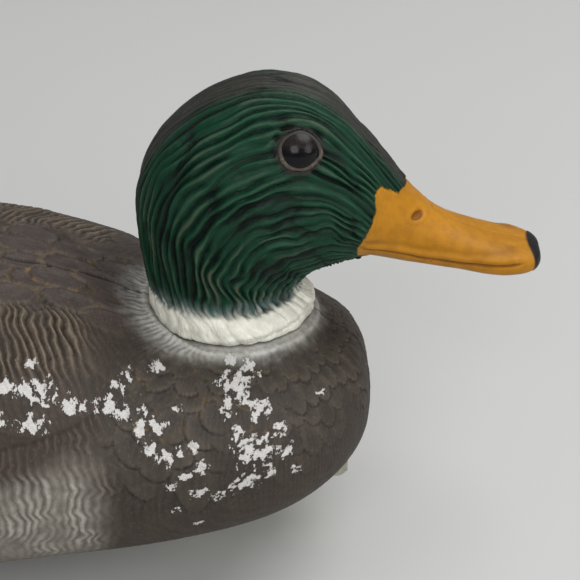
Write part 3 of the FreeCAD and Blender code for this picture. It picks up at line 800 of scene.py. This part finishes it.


# %% [markdown]
# ## The hull's paint
# Browns are sprayed on the breast and the wing, a pale grey on the flank, a dark band between them, and dust has
# settled in the grooves of the back. The grooves get painted shade and the crests painted light.

# %% Hull colours
BREAST_BROWN = paint(72, 64, 55)
BREAST_LIGHT = paint(98, 88, 75)
BREAST_DARK = paint(44, 38, 32)
BACK_BROWN = paint(76, 65, 55)
BACK_LIGHT = paint(108, 95, 80)
BACK_DARK = paint(44, 37, 31)
LOBE_PURPLE = paint(75, 65, 60)
OCHRE_DUST = paint(128, 102, 62)
FLANK_GREY = paint(163, 158, 148)
FLANK_LIGHT = paint(186, 182, 173)
FLANK_SHADE = paint(138, 132, 122)
BAND_DARK = paint(66, 55, 46)
RUMP_BLACK = paint(40, 37, 36)
TAIL_WHITE = paint(206, 202, 190)
SPECULUM_BLUE = paint(42, 56, 96)
COLLAR_WHITE = paint(232, 231, 224)


SEAM_DARK = paint(18, 15, 12)
PATCH_PLACE, PATCH_TURN, PATCH_LEAN = -176.0, 1.06, 22.0
PATCH_HALF, PATCH_BORDER = 11.0, 15.5


def breast_paint(points, relief, groove, own):
    # Painted shade in the scale grooves and painted light on their crests, with each scale's own tone.
    colours = shaded_field(BREAST_DARK, BREAST_BROWN, ease(-0.45, 0.1, relief) + 0.15 * own)
    colours = mix(colours, BREAST_LIGHT, 0.55 * ease(0.05, 0.4, relief))
    dust = ease(0.0, 0.6, noise(points, 9.0, 102)) * (1 - ease(22.0, 36.0, points[:, 0]))
    dust = dust * ease(-0.1, 0.4, noise(points, 1.6, 107))
    colours = mix(colours, OCHRE_DUST, 0.7 * ease(0.1, 0.7, groove) * dust)
    low = 1 - ease(-46.0, -26.0, points[:, 2])
    return mix(colours, BAND_DARK * 0.85, 0.5 * low)


def wing_paint(points, relief, groove, own, angle, middle_back):
    # Painted shade in the grooves and painted light on the crests, for the bars and for the lobes.
    colours = shaded_field(BACK_DARK, BACK_BROWN, ease(-0.3, 0.15, relief))
    colours = mix(colours, BACK_LIGHT, 0.75 * ease(0.1, 0.5, relief))
    lobes = shaded_field(BACK_DARK, LOBE_PURPLE, ease(-0.5, 0.0, relief) + 0.2 * own)
    rims = ease(0.0, 0.5, groove) * (0.6 + 0.8 * noise(points, 7.0, 110))
    lobes = mix(lobes, BACK_LIGHT, 0.75 * rims)
    flecks = ease(0.0, 0.5, noise(points, 1.8, 108)) * ease(-0.1, 0.5, noise(points, 12.0, 109))
    lobes = mix(lobes, OCHRE_DUST, 0.9 * ease(0.1, 0.7, groove) * flecks)
    colours = mix(colours, lobes, middle_back)
    lower = ease(0.45, 1.0, angle + 0.1 * noise(points, 18.0, 104))
    # lit is painted light and shade from the relief, for the dark band and the speculum.
    lit = 0.8 + 0.5 * ease(-0.2, 0.5, relief)[:, None]
    colours = mix(colours, BAND_DARK * lit, 0.75 * lower)
    across = points[:, 0] - PATCH_PLACE - PATCH_LEAN * (angle - PATCH_TURN)
    across = np.abs(across + noise(points, 5.0, 113))
    tall = ease(0.84, 0.90, angle) * (1 - ease(1.22, 1.27, angle + 0.02 * noise(points, 6.0, 112)))
    border = (1 - ease(PATCH_BORDER, PATCH_BORDER + 1.5, across)) * tall
    patch = (1 - ease(PATCH_HALF, PATCH_HALF + 1.5, across)) * tall
    return mix(mix(colours, TAIL_WHITE * 0.8, border), SPECULUM_BLUE * lit, patch)


def hull_paint(points, relief, groove, own, angle, zones, over_edge, middle_back):
    crest = ease(-0.2, 0.4, relief)
    pale = ease(3.0, 17.0, -over_edge + 2.5 * noise(points, 12.0, 105))
    pale *= 1 - ease(-47.0, -29.0, points[:, 0] + 3.0 * noise(points, 10.0, 106))
    # Painted shade in the flank's grooves and painted light on its crests.
    flank = shaded_field(FLANK_SHADE, FLANK_GREY, crest)
    flank = mix(flank, FLANK_LIGHT, 0.6 * ease(0.05, 0.40, relief))
    # The dark band, painted darker in its grooves and lighter on its crests.
    band = BAND_DARK * (0.75 + 0.6 * crest[:, None])
    colours = mix(band, flank, pale * (0.8 + 0.2 * crest))
    colours = mix(colours, breast_paint(points, relief, groove, own), zones["breast"])
    wing = wing_paint(points, relief, groove, own, angle, middle_back)
    colours = mix(colours, wing, zones["wing"])
    # The rump and the tail get the same painted shade in the grooves and painted light on the crests.
    rump = RUMP_BLACK * (0.8 + 0.7 * crest[:, None])
    colours = mix(colours, rump, zones["rump"] * (1 - zones["wing"]))
    colours = mix(colours, shaded_field(FLANK_SHADE, TAIL_WHITE, crest), zones["tail"])
    return mix(colours, BAND_DARK * 0.8, 0.7 * ease(2.0, 2.5, angle))


def collar_paint(colours, points, relief):
    """Sprayed white that drifts from the neck ring onto the hull."""
    away = np.hypot(points[:, 0], points[:, 1])
    azimuth = np.arctan2(points[:, 1], -points[:, 0])
    reach = 3.4 + 7.0 * (1 - ease(0.9, 1.7, np.abs(azimuth)))
    edge = (away - 27.2 + 1.2 * noise(points, 2.2, 103)) / reach
    drift = (1 - ease(0.0, 1.25, edge)) * ease(-14.0, -7.0, points[:, 2])
    crest = ease(-0.4, 0.4, relief)
    return mix(colours, COLLAR_WHITE, np.clip(drift, 0, 1) * (0.22 + 0.45 * crest))


# %% [markdown]
# ## Where the paint has flaked
# Flakes come in clusters where the decoy rubs in its bag: a band over the shoulder, a loose
# string down behind the breast, and a heavy patch on the breast itself. A cluster is a soft
# spot given by its place along the hull, its angle round the hull and how far it reaches
# both ways. Only the spots are kept per vertex, since the material can cut their ragged chips
# much finer than the triangles.

# %% Flake clusters
SHOULDER_FLAKES = [
    (-84.0, 0.90, 10.0, 0.10), (-66.0, 0.80, 5.0, 0.08), (-66.0, 0.98, 4.0, 0.06),
    (-59.0, 0.66, 6.0, 0.04), (-56.0, 0.81, 9.0, 0.11), (-57.0, 1.00, 7.0, 0.08),
    (-46.0, 0.87, 6.0, 0.10), (-35.5, 0.83, 6.0, 0.10), (-30.5, 0.85, 3.0, 0.09),
    (-33.0, 0.70, 3.5, 0.05), (-30.0, 0.61, 3.2, 0.07), (-22.0, 0.54, 4.5, 0.06),
]
SIDE_FLAKES = [
    (-25.5, 0.92, 3.5, 0.17), (-21.0, 0.92, 4.5, 0.08), (-15.0, 0.79, 2.4, 0.05),
    (-23.0, 1.08, 3.5, 0.09), (-18.5, 1.13, 4.0, 0.11), (-14.0, 1.09, 2.4, 0.07),
    (-9.5, 1.06, 3.0, 0.08), (-7.5, 1.22, 3.2, 0.11), (-12.0, 1.28, 3.4, 0.06),
    (-16.5, 1.38, 3.6, 0.07), (-9.0, 1.48, 5.0, 0.08), (-3.0, 1.56, 4.0, 0.07),
    (-15.5, 1.63, 4.0, 0.05), (-8.5, 1.86, 2.6, 0.04),
]
BREAST_FLAKES = [
    (0.5, 0.47, 3.5, 0.07), (2.5, 0.63, 9.0, 0.13), (6.0, 0.53, 4.0, 0.09),
    (4.5, 0.74, 3.5, 0.11), (0.0, 0.79, 3.4, 0.14), (9.5, 0.86, 5.5, 0.13),
    (3.0, 1.02, 4.5, 0.09), (7.0, 1.17, 7.0, 0.20), (12.0, 1.22, 3.4, 0.22),
    (16.0, 1.08, 4.0, 0.09), (17.5, 1.30, 3.6, 0.11), (6.0, 1.48, 8.0, 0.13),
    (13.5, 1.46, 3.0, 0.09), (21.0, 1.53, 2.8, 0.08), (29.0, 0.87, 3.0, 0.06),
]
FAR_FLAKES = [
    (-140.0, 0.90, 20.0, 0.12), (-205.0, 0.95, 16.0, 0.12), (-110.0, 1.30, 14.0, 0.10),
]


print(len(SHOULDER_FLAKES + SIDE_FLAKES + BREAST_FLAKES + FAR_FLAKES), "clusters of chips")


def flake_share(points, angle, side):
    """How likely the paint is gone; the other side wears in other places."""
    clusters = SHOULDER_FLAKES + SIDE_FLAKES + BREAST_FLAKES + FAR_FLAKES
    if side > 0:
        clusters = [(along * 0.8 - 14.0, turn + 0.35, reach * 0.8, width * 0.9)
                    for along, turn, reach, width in clusters]
    total = np.zeros(len(points))
    for along, turn, reach, width in clusters:
        far = np.hypot((points[:, 0] - along) / reach, (angle - turn) / width)
        total = np.maximum(total, 1 - ease(0.0, 1.5, far))
    return total


# %% [markdown]
# ## Making the two hull shells
# The hull is carved as the head was. The wing's lower edge stands a little proud of the flank,
# the way a folded wing lies on the side feathers, and where the keel is screwed on the hull
# stays plain, so that the keel still fits.

# %% Hull shells
def make_hull(side_name, side):
    node_name = "body_shell_" + side_name
    piece = carved_stock(node_name, "carved_hull_" + side_name, VOXEL_HULL)
    mesh = piece.data
    points = points_of(mesh)
    angle, centre = hull_coordinates(points)
    normal = spread_normals(mesh, 3)
    facing = outward_share(points, normal, centre)
    zones, over_edge = hull_zones(points, side)
    relief, groove, own, middle_back, phase, strength = hull_relief(points, angle, zones, side)
    rays, lip, collar = collar_relief(points)
    relief = relief * (1 - 0.8 * collar) + (rays - 0.2) * collar + lip
    above_keel = ease(-45.0, -35.0, points[:, 2])
    relief -= 0.9 * bump(points[:, 1], 0.0, 1.1) * above_keel
    free = ease(12.0, 15.0, np.abs(points[:, 1])) + ease(-40.0, -30.0, points[:, 2])
    free = np.clip(free, 0, 1) * (1 - seat_share(points))
    relief = relief * free
    outside = ease(*FACING_OUT, facing)
    lift = level_at_seam(points, normal, 1.0)
    wing_rise = 0.9 * zones["wing"] * (1 - ease(0.0, 22.0, over_edge)) * (1 - zones["rump"])
    moved = points + lift * ((relief + wing_rise * free) * outside)[:, None]
    moved[:, 1] += seam_wave(points) * (1 - ease(0.0, 9.0, np.abs(points[:, 1])))
    set_points(mesh, moved)
    colours = hull_paint(points, relief, groove, own, angle, zones, over_edge, middle_back)
    colours = collar_paint(colours, points, relief)
    seam = bump(points[:, 1], 0.0, 0.6) * above_keel
    store_colour(mesh, mix(colours, SEAM_DARK, 0.9 * seam))
    store(mesh, flakes=flake_share(points, angle, side) * (1 - zones["tail"]) * outside,
          row_phase=phase, row_share=strength * outside * (1 - collar),
          flow_along=-points[:, 0], flow_across=angle * HULL_ROUND_TO_MM)
    plain = (facing < FACING_IN) | (angle > UNDERSIDE)
    print(node_name, "carved:", thin(piece, plain), "triangles")
    piece.data.shade_smooth()
    return piece


hull_pieces = {"right": make_hull("right", -1), "left": make_hull("left", 1)}

# %% [markdown]
# ## Materials
# Every painted surface starts from the paint stored with its mesh. Nodes add what is too fine
# for the triangles: grain, hairs, the sharp edges of the rows, and chips. A painted image would
# need unwrapping and would blur close up, while nodes stay sharp, so nodes are used. A few
# short helpers make and join them.

# %% Material helpers
def new_material(name):
    material = bpy.data.materials.new(name)
    material.use_nodes = True
    tree = material.node_tree
    return material, tree, tree.nodes["Principled BSDF"]


def node(tree, kind, **settings):
    made = tree.nodes.new(kind)
    for name, value in settings.items():
        setattr(made, name, value)
    return made


def attribute(tree, name, colour=False):
    made = node(tree, "ShaderNodeAttribute", attribute_name=name)
    return made.outputs["Color" if colour else "Fac"]


def speckle(tree, scale, detail=4.0, roughness=0.6, vector=None):
    """Noise on the object's own coordinates; scale is in waves per metre."""
    made = node(tree, "ShaderNodeTexNoise")
    made.inputs["Scale"].default_value = scale
    made.inputs["Detail"].default_value = detail
    made.inputs["Roughness"].default_value = roughness
    if vector is None:
        vector = node(tree, "ShaderNodeTexCoord").outputs["Object"]
    tree.links.new(vector, made.inputs["Vector"])
    return made.outputs["Fac"]


def between(tree, value, low, high, out_low=0.0, out_high=1.0, kind="SMOOTHSTEP"):
    made = node(tree, "ShaderNodeMapRange", interpolation_type=kind)
    tree.links.new(value, made.inputs["Value"])
    for name, number in zip(("From Min", "From Max", "To Min", "To Max"),
                            (low, high, out_low, out_high)):
        made.inputs[name].default_value = number
    return made.outputs["Result"]


def calculate(tree, operation, first, second=0.0):
    made = node(tree, "ShaderNodeMath", operation=operation)
    for socket, value in zip(made.inputs, (first, second)):
        if isinstance(value, (int, float)):
            socket.default_value = value
        else:
            tree.links.new(value, socket)
    return made.outputs[0]


def times(tree, first, second):
    return calculate(tree, "MULTIPLY", first, second)


def plus(tree, first, second):
    return calculate(tree, "ADD", first, second)


def blend_colour(tree, first, second, share):
    made = node(tree, "ShaderNodeMix", data_type="RGBA")
    for place, value in ((6, first), (7, second), (0, share)):
        socket = made.inputs[place]
        if isinstance(value, bpy.types.NodeSocket):
            tree.links.new(value, socket)
        elif isinstance(value, (int, float)):
            socket.default_value = value
        else:
            socket.default_value = (*value, 1.0)
    return made.outputs[2]


def finish(tree, shader, colour, roughness, height, distance, strength):
    """Joins a colour, a roughness and a bump to the shader."""
    tree.links.new(colour, shader.inputs["Base Color"])
    tree.links.new(roughness, shader.inputs["Roughness"])
    made = node(tree, "ShaderNodeBump")
    made.inputs["Distance"].default_value = distance
    made.inputs["Strength"].default_value = strength
    tree.links.new(height, made.inputs["Height"])
    tree.links.new(made.outputs["Normal"], shader.inputs["Normal"])


# %% [markdown]
# ## Detail finer than the triangles
# Hairs and the edges of the rows are thinner than the mesh can show. The mesh still carries
# two coordinates that follow the feathers, and the count of rows passed so far, at each
# vertex. Noise on the first gives hairs that run the right way. The count runs on evenly
# between vertices, so its sine is 0 on a row's crest and its cosine 0 in the groove beside it,
# and both lines come out sharp.

# %% Hairs and rows
def stretched_flow(tree, along, across):
    """The coordinates that follow the feathers, squeezed by two scales."""
    flow = node(tree, "ShaderNodeCombineXYZ")
    tree.links.new(attribute(tree, "flow_along"), flow.inputs["X"])
    tree.links.new(attribute(tree, "flow_across"), flow.inputs["Y"])
    stretch = node(tree, "ShaderNodeMapping")
    stretch.inputs["Scale"].default_value = (along, across, 1.0)
    tree.links.new(flow.outputs["Vector"], stretch.inputs["Vector"])
    return stretch.outputs["Vector"]


def hair_lines(tree, along, across):
    return speckle(tree, 1.0, 2.0, 0.5, stretched_flow(tree, along, across))


def row_marks(tree):
    """Groove, crest and height of the feather rows, a little shaken so they look hand-cut."""
    jitter = times(tree, speckle(tree, 620.0, 4.0), 0.40)
    phase = plus(tree, attribute(tree, "row_phase"), calculate(tree, "SUBTRACT", jitter, 0.20))
    turned = times(tree, phase, math.pi)
    share = attribute(tree, "row_share")
    height = calculate(tree, "ABSOLUTE", calculate(tree, "COSINE", turned))
    off_crest = calculate(tree, "ABSOLUTE", calculate(tree, "SINE", turned))
    groove = times(tree, between(tree, height, 0.05, 0.50, 1.0, 0.0), share)
    crest = times(tree, between(tree, off_crest, 0.0, 0.55, 1.0, 0.0), share)
    return groove, crest, times(tree, height, share)


# %% [markdown]
# ## The head's finish
# The green is a dull sprayed lacquer, with painted shade in the grooves and creases and a painted highlight on the
# crests. The bill has fewer hairs and small brown specks where dirt sits in its grain.

# %% Head paint material
BUMP_DEPTH = 0.3 * MM


def head_material():
    material, tree, shader = new_material("sprayed head paint")
    base = attribute(tree, "paint", True)
    bill = attribute(tree, "bill")
    grain = speckle(tree, 2600.0, 3.0)
    hairs = hair_lines(tree, 0.25, 1.7)
    groove, crest, rows = row_marks(tree)
    pale_hairs = between(tree, hairs, 0.58, 0.80, 0.0, 0.10)
    colour = blend_colour(tree, base, paint(112, 132, 116), pale_hairs)
    colour = blend_colour(tree, colour, base, bill)
    fold = plus(tree, attribute(tree, "fold"), between(tree, grain, 0.2, 0.8, -0.03, 0.03))
    creases = times(tree, between(tree, fold, 0.02, 0.17, 1.0, 0.0), 0.7)
    # Painted shade: a near-black green in the row grooves and creases.
    dark = times(tree, calculate(tree, "MAXIMUM", groove, creases), 0.66)
    colour = blend_colour(tree, colour, paint(3, 12, 8), dark)
    # Painted highlight: a pale green on the row crests.
    colour = blend_colour(tree, colour, paint(78, 104, 84), times(tree, crest, 0.16))
    soil = between(tree, speckle(tree, 260.0), 0.35, 0.62, 0.16, 0.0)
    colour = blend_colour(tree, colour, (0.0, 0.0, 0.0), soil)
    specks = times(tree, between(tree, speckle(tree, 820.0, 2.0), 0.70, 0.74), bill)
    colour = blend_colour(tree, colour, paint(104, 70, 30), times(tree, specks, 0.6))
    shader.inputs["Specular IOR Level"].default_value = 0.22
    height = times(tree, hairs, between(tree, bill, 0.0, 1.0, 0.7, 0.1))
    height = plus(tree, height, times(tree, grain, 0.3))
    height = plus(tree, height, times(tree, rows, 1.2))
    height = calculate(tree, "SUBTRACT", height, times(tree, creases, 1.2))
    roughness = between(tree, grain, 0.3, 0.7, 0.36, 0.54)
    finish(tree, shader, colour, roughness, height, BUMP_DEPTH, 1.0)
    return material


# %% [markdown]
# ## The hull's finish
# The brown is flatter and dirtier than the green. Where it has chipped, pale bare plastic
# shows. A chip's edge is ragged, and it is longer along the feathers than across them, so the
# stored spots are added to noise on the feathers' own coordinates and cut at a sharp level.

# %% Hull paint material
CHIP_PLASTIC = paint(206, 203, 200)
CHIP_SHADE = paint(190, 187, 183)
HULL_SOIL = (0.020, 0.016, 0.013)


def chips(tree):
    """1 where the paint is gone."""
    ragged = speckle(tree, 0.44, 6.0, 0.66, stretched_flow(tree, 1.0, 0.62))
    reach = between(tree, attribute(tree, "flakes"), 0.0, 1.0, -0.24, 0.075, "LINEAR")
    return between(tree, plus(tree, ragged, reach), 0.493, 0.503)


def hull_material():
    material, tree, shader = new_material("sprayed hull paint")
    grain = speckle(tree, 2200.0, 3.0)
    hairs = hair_lines(tree, 1.5, 0.6)
    groove, crest, rows = row_marks(tree)
    chip = chips(tree)
    pale_hairs = between(tree, hairs, 0.55, 0.8, 0.0, 0.22)
    colour = blend_colour(tree, attribute(tree, "paint", True), paint(142, 130, 114), pale_hairs)
    # Painted shade in the row grooves, and a painted highlight on their crests.
    colour = blend_colour(tree, colour, paint(40, 33, 27), times(tree, groove, 0.60))
    colour = blend_colour(tree, colour, paint(186, 176, 158), times(tree, crest, 0.14))
    soil = between(tree, speckle(tree, 300.0, 5.0), 0.38, 0.62, 0.28, 0.0)
    colour = blend_colour(tree, colour, HULL_SOIL, soil)
    bare = blend_colour(tree, CHIP_PLASTIC, CHIP_SHADE, between(tree, grain, 0.4, 0.6))
    colour = blend_colour(tree, colour, bare, chip)
    shader.inputs["Specular IOR Level"].default_value = 0.32
    height = plus(tree, times(tree, grain, 0.3), times(tree, hairs, 0.4))
    height = calculate(tree, "SUBTRACT", height, times(tree, chip, 0.6))
    height = plus(tree, height, times(tree, rows, 1.6))
    roughness = between(tree, grain, 0.3, 0.7, 0.52, 0.72)
    finish(tree, shader, colour, roughness, height, BUMP_DEPTH, 0.9)
    return material


# %% Give the painted pieces their finish
def finish_piece(piece, body, material, slot, *nodes):
    piece.data.materials.clear()
    piece.data.materials.append(material)
    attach(piece, body)
    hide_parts(*nodes)


head_finish = head_material()
hull_finish = hull_material()
for side in ("right", "left"):
    finish_piece(head_pieces[side], "head", head_finish, "head_paint", "head_shell_" + side)
    finish_piece(hull_pieces[side], "hull", hull_finish, "hull_paint", "body_shell_" + side)

# %% [markdown]
# ## Eyelids
# A lid is a soft roll of painted plastic round the glass, a little wider than it is tall and
# drawn out to a point in front. A torus would have to be cut and bent, so a small circle is
# spun about the eye's own axis, and then the ring is pulled to shape as it is put in place.

# %% Spin the lids
LID_RING = 5.5
LID_ROLL = 0.78
LID_CORNER_TURN = 0.18
LID_FLATTEN = 0.8


def make_lid(side_name, side):
    """A spun roll, laid round the glass of one eye."""
    work = bmesh.new()
    roll = bmesh.ops.create_circle(work, cap_ends=False, segments=14, radius=LID_ROLL)["verts"]
    upright = Matrix.Rotation(math.pi / 2, 3, "X")
    bmesh.ops.rotate(work, verts=roll, cent=(0, 0, 0), matrix=upright)
    bmesh.ops.translate(work, verts=roll, vec=(LID_RING, 0, 0))
    bmesh.ops.spin(work, geom=work.verts[:] + work.edges[:], cent=(0, 0, 0), axis=(0, 0, 1),
                   angle=2 * math.pi, steps=96, use_merge=True)
    bmesh.ops.remove_doubles(work, verts=work.verts, dist=1e-4)
    bmesh.ops.recalc_face_normals(work, faces=work.faces)
    look = Vector(look_direction(side))
    ahead = Vector((1, 0, 0)) - look * look.x
    ahead.normalize()
    upward = look.cross(ahead) if look.cross(ahead).z > 0 else ahead.cross(look)
    centre = Vector(eye_centre(side))
    face = eye_surface(side)
    for vertex in work.verts:
        wide, tall, out = vertex.co
        turned = math.atan2(tall, wide)
        from_corner = turned + LID_CORNER_TURN
        radius = math.hypot(wide, tall)
        corner = 0.8 * math.exp(-((from_corner / 0.30) ** 2))
        radius += corner + 0.30 * math.cos(2 * turned) + 0.08 * math.sin(5 * turned)
        sink = 0.35 * math.exp(-((from_corner / 0.5) ** 2)) + 0.10 * math.sin(3 * turned)
        flat = ahead * (radius * math.cos(turned)) + upward * (radius * math.sin(turned))
        place = centre + flat + look * (face + out * LID_FLATTEN - sink)
        vertex.co = Vector(neck) + place * MM
    mesh = bpy.data.meshes.new("eyelid_" + side_name)
    bmesh.ops.recalc_face_normals(work, faces=work.faces)
    work.to_mesh(mesh)
    work.free()
    mesh.shade_smooth()
    return new_object("eyelid_" + side_name, mesh)


def eye_surface(side):
    """How far out along the eye's axis the glass meets the head."""
    mesh = frame["nodes"]["eye_left" if side > 0 else "eye_right"].data
    look = look_direction(side)
    away = points_of(mesh) - eye_centre(side)
    out = away @ look
    from_axis = np.linalg.norm(away - np.outer(out, look), axis=1)
    return float(out[from_axis > EYE_RADIUS - 0.15].max())


# %% [markdown]
# ## The lids' finish
# A lid is painted as the head is, dull and dusty. Its upper half lies in the brow's shade, and that shade is
# painted in as a darker colour, so the colour changes with height.

# %% Eyelid paint
def level_in(tree):
    """How high a place is, which is all the lids and the glass need."""
    split = node(tree, "ShaderNodeSeparateXYZ")
    tree.links.new(node(tree, "ShaderNodeTexCoord").outputs["Object"], split.inputs["Vector"])
    return split.outputs["Z"]


def lid_material():
    material, tree, shader = new_material("dusty eyelid paint")
    dust = between(tree, speckle(tree, 900.0, 4.0), 0.35, 0.65)
    light = blend_colour(tree, paint(52, 44, 38), paint(96, 84, 73), dust)
    # Painted shade: the upper half of the lid is darker, as under the brow.
    upper = between(tree, level_in(tree), eye_height - MM, eye_height + 3 * MM, 0.0, 0.75)
    tone = blend_colour(tree, light, paint(24, 25, 21), upper)
    roughness = between(tree, dust, 0.0, 1.0, 0.45, 0.7)
    finish(tree, shader, tone, roughness, speckle(tree, 3000.0, 3.0), 0.2 * MM, 0.6)
    return material


lid_finish = lid_material()
for side_name, side in (("right", -1), ("left", 1)):
    lid = make_lid(side_name, side)
    lid.data.materials.append(lid_finish)
    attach(lid, "head")
    print(lid.name, "face at", round(eye_surface(side), 2), "mm along the eye's axis")

# %% [markdown]
# ## Plain parts
# The keel, the eyelets and the hidden metal keep the frame's own shape and only get a finish.
# One builder makes them all: a colour, a lighter worn tone, dirt, and a fine grain. Only the
# glass of the eyes has its own, because a film of dust lies on its upper half.

# %% Finishes for frame nodes
def plain_material(name, colour, roughness, metallic=0.0, grain=600.0):
    material, tree, shader = new_material(name)
    wear_and_sheen = speckle(tree, grain, 5.0)
    light = [min(1.0, c * 1.35 + 0.02) for c in colour]
    base = blend_colour(tree, colour, light, between(tree, wear_and_sheen, 0.4, 0.7))
    dirt = between(tree, speckle(tree, grain * 0.4, 4.0), 0.5, 0.7, 0.0, 0.5)
    dirty = blend_colour(tree, base, colour * 0.45, dirt)
    gloss = between(tree, wear_and_sheen, 0.3, 0.7, roughness * 0.8, min(1.0, roughness * 1.2))
    shader.inputs["Metallic"].default_value = metallic
    finish(tree, shader, dirty, gloss, speckle(tree, grain * 6, 3.0), 0.2 * MM, 0.5)
    return material


def eye_material():
    """Black glass whose upper half has gathered a film of brown dust."""
    material, tree, shader = new_material("black eye glass")
    wobble = between(tree, speckle(tree, 700.0, 4.0), 0.0, 1.0, -2.2 * MM, 2.2 * MM)
    level = plus(tree, level_in(tree), wobble)
    film = between(tree, level, eye_height + 0.2 * MM, eye_height + 4.6 * MM, 0.0, 0.55)
    film = times(tree, film, between(tree, speckle(tree, 2400.0, 3.0), 0.35, 0.6, 0.45, 1.0))
    glass = blend_colour(tree, paint(7, 7, 10), paint(54, 47, 43), film)
    roughness = between(tree, film, 0.0, 1.0, 0.12, 0.55)
    shader.inputs["Specular IOR Level"].default_value = 0.22
    finish(tree, shader, glass, roughness, speckle(tree, 1400.0, 2.0), 0.08 * MM, 0.5)
    return material


FINISHES = {
    "keel_plastic": plain_material("moulded keel plastic", paint(158, 158, 140), 0.6),
    "eyelet_brass": plain_material("dull brass", paint(150, 122, 70), 0.42, 1.0),
    "inner_plastic": plain_material("dark moulded plastic", paint(62, 60, 58), 0.55),
    "seal_rubber": plain_material("seal rubber", paint(26, 26, 26), 0.7),
    "steel": plain_material("plain steel", paint(168, 168, 166), 0.35, 1.0),
    "ballast_iron": plain_material("rough cast ballast", paint(86, 84, 82), 0.6, 0.8),
    "eye_glass": eye_material(),
}
for entry in frame["record"]["subparts"]:
    name, slot_name = entry["node"], entry["material_slot"]
    if slot_name in FINISHES:
        mesh = frame["nodes"][name].data
        mesh.materials.clear()
        mesh.materials.append(FINISHES[slot_name])
print(len(FINISHES), "finishes for the plain parts")

# %% [markdown]
# ## Stage, light and camera
# A plain pale floor and a plain studio: one broad soft light overhead, a weaker one in front
# that opens the shadows, and a small one at the bill's end that gives the eye its glint. The
# camera looks down at the decoy's right side with a long lens, so that little is foreshortened.

# %% Floor, lights, camera
def make_floor():
    work = bmesh.new()
    bmesh.ops.create_grid(work, x_segments=1, y_segments=1, size=3.0)
    mesh = bpy.data.meshes.new("floor")
    work.to_mesh(mesh)
    work.free()
    material, tree, shader = new_material("pale floor")
    tone = blend_colour(tree, (0.57, 0.57, 0.56), (0.61, 0.61, 0.60), speckle(tree, 2.0, 3.0))
    tree.links.new(tone, shader.inputs["Base Color"])
    shader.inputs["Roughness"].default_value = 0.85
    mesh.materials.append(material)
    new_object("floor", mesh)


def point_at(made, place, direction):
    made.location = place
    made.rotation_euler = direction.to_track_quat("-Z", "Y").to_euler()


def area_light(name, place, target, size, power):
    lamp = bpy.data.lights.new(name, "AREA")
    lamp.shape = "DISK"
    lamp.size = size
    lamp.energy = power
    point_at(new_object(name, lamp), place, Vector(target) - Vector(place))


# %% Camera
ELEVATION = math.radians(30.0)
AIM_AHEAD, AIM_UP = 18.87 * MM, 4.84 * MM
DISTANCE = 600 * MM
SEEN_WIDTH = 187.0968 * MM
SENSOR_WIDTH = 36.0


def make_camera():
    back = Vector((0, -math.cos(ELEVATION), math.sin(ELEVATION)))
    up = Vector((0, math.sin(ELEVATION), math.cos(ELEVATION)))
    aim = neck + Vector((AIM_AHEAD, 0, 0)) + up * AIM_UP
    lens = bpy.data.cameras.new("view")
    lens.sensor_width = SENSOR_WIDTH
    lens.lens = SENSOR_WIDTH * DISTANCE / SEEN_WIDTH
    made = new_object("view", lens)
    point_at(made, aim + back * DISTANCE, -back)
    bpy.context.scene.camera = made
    print("lens", round(lens.lens, 1), "mm")


# %% Set the stage
make_floor()
area_light("overhead", (0.75, 0.10, 1.45), (0.12, 0, 0.05), 1.3, 16.5)
area_light("front", (-0.2, -1.45, 0.95), (0.08, 0, 0.05), 1.0, 9.5)
area_light("right", (1.2, -0.7, 0.6), (0.15, 0, 0.0), 0.8, 4.0)
make_camera()

world = bpy.data.worlds.new("soft room")
world.use_nodes = True
world.node_tree.nodes["Background"].inputs["Color"].default_value = (0.98, 0.99, 1.0, 1)
world.node_tree.nodes["Background"].inputs["Strength"].default_value = 0.30
bpy.context.scene.world = world
bpy.context.scene.view_settings.view_transform = "Standard"
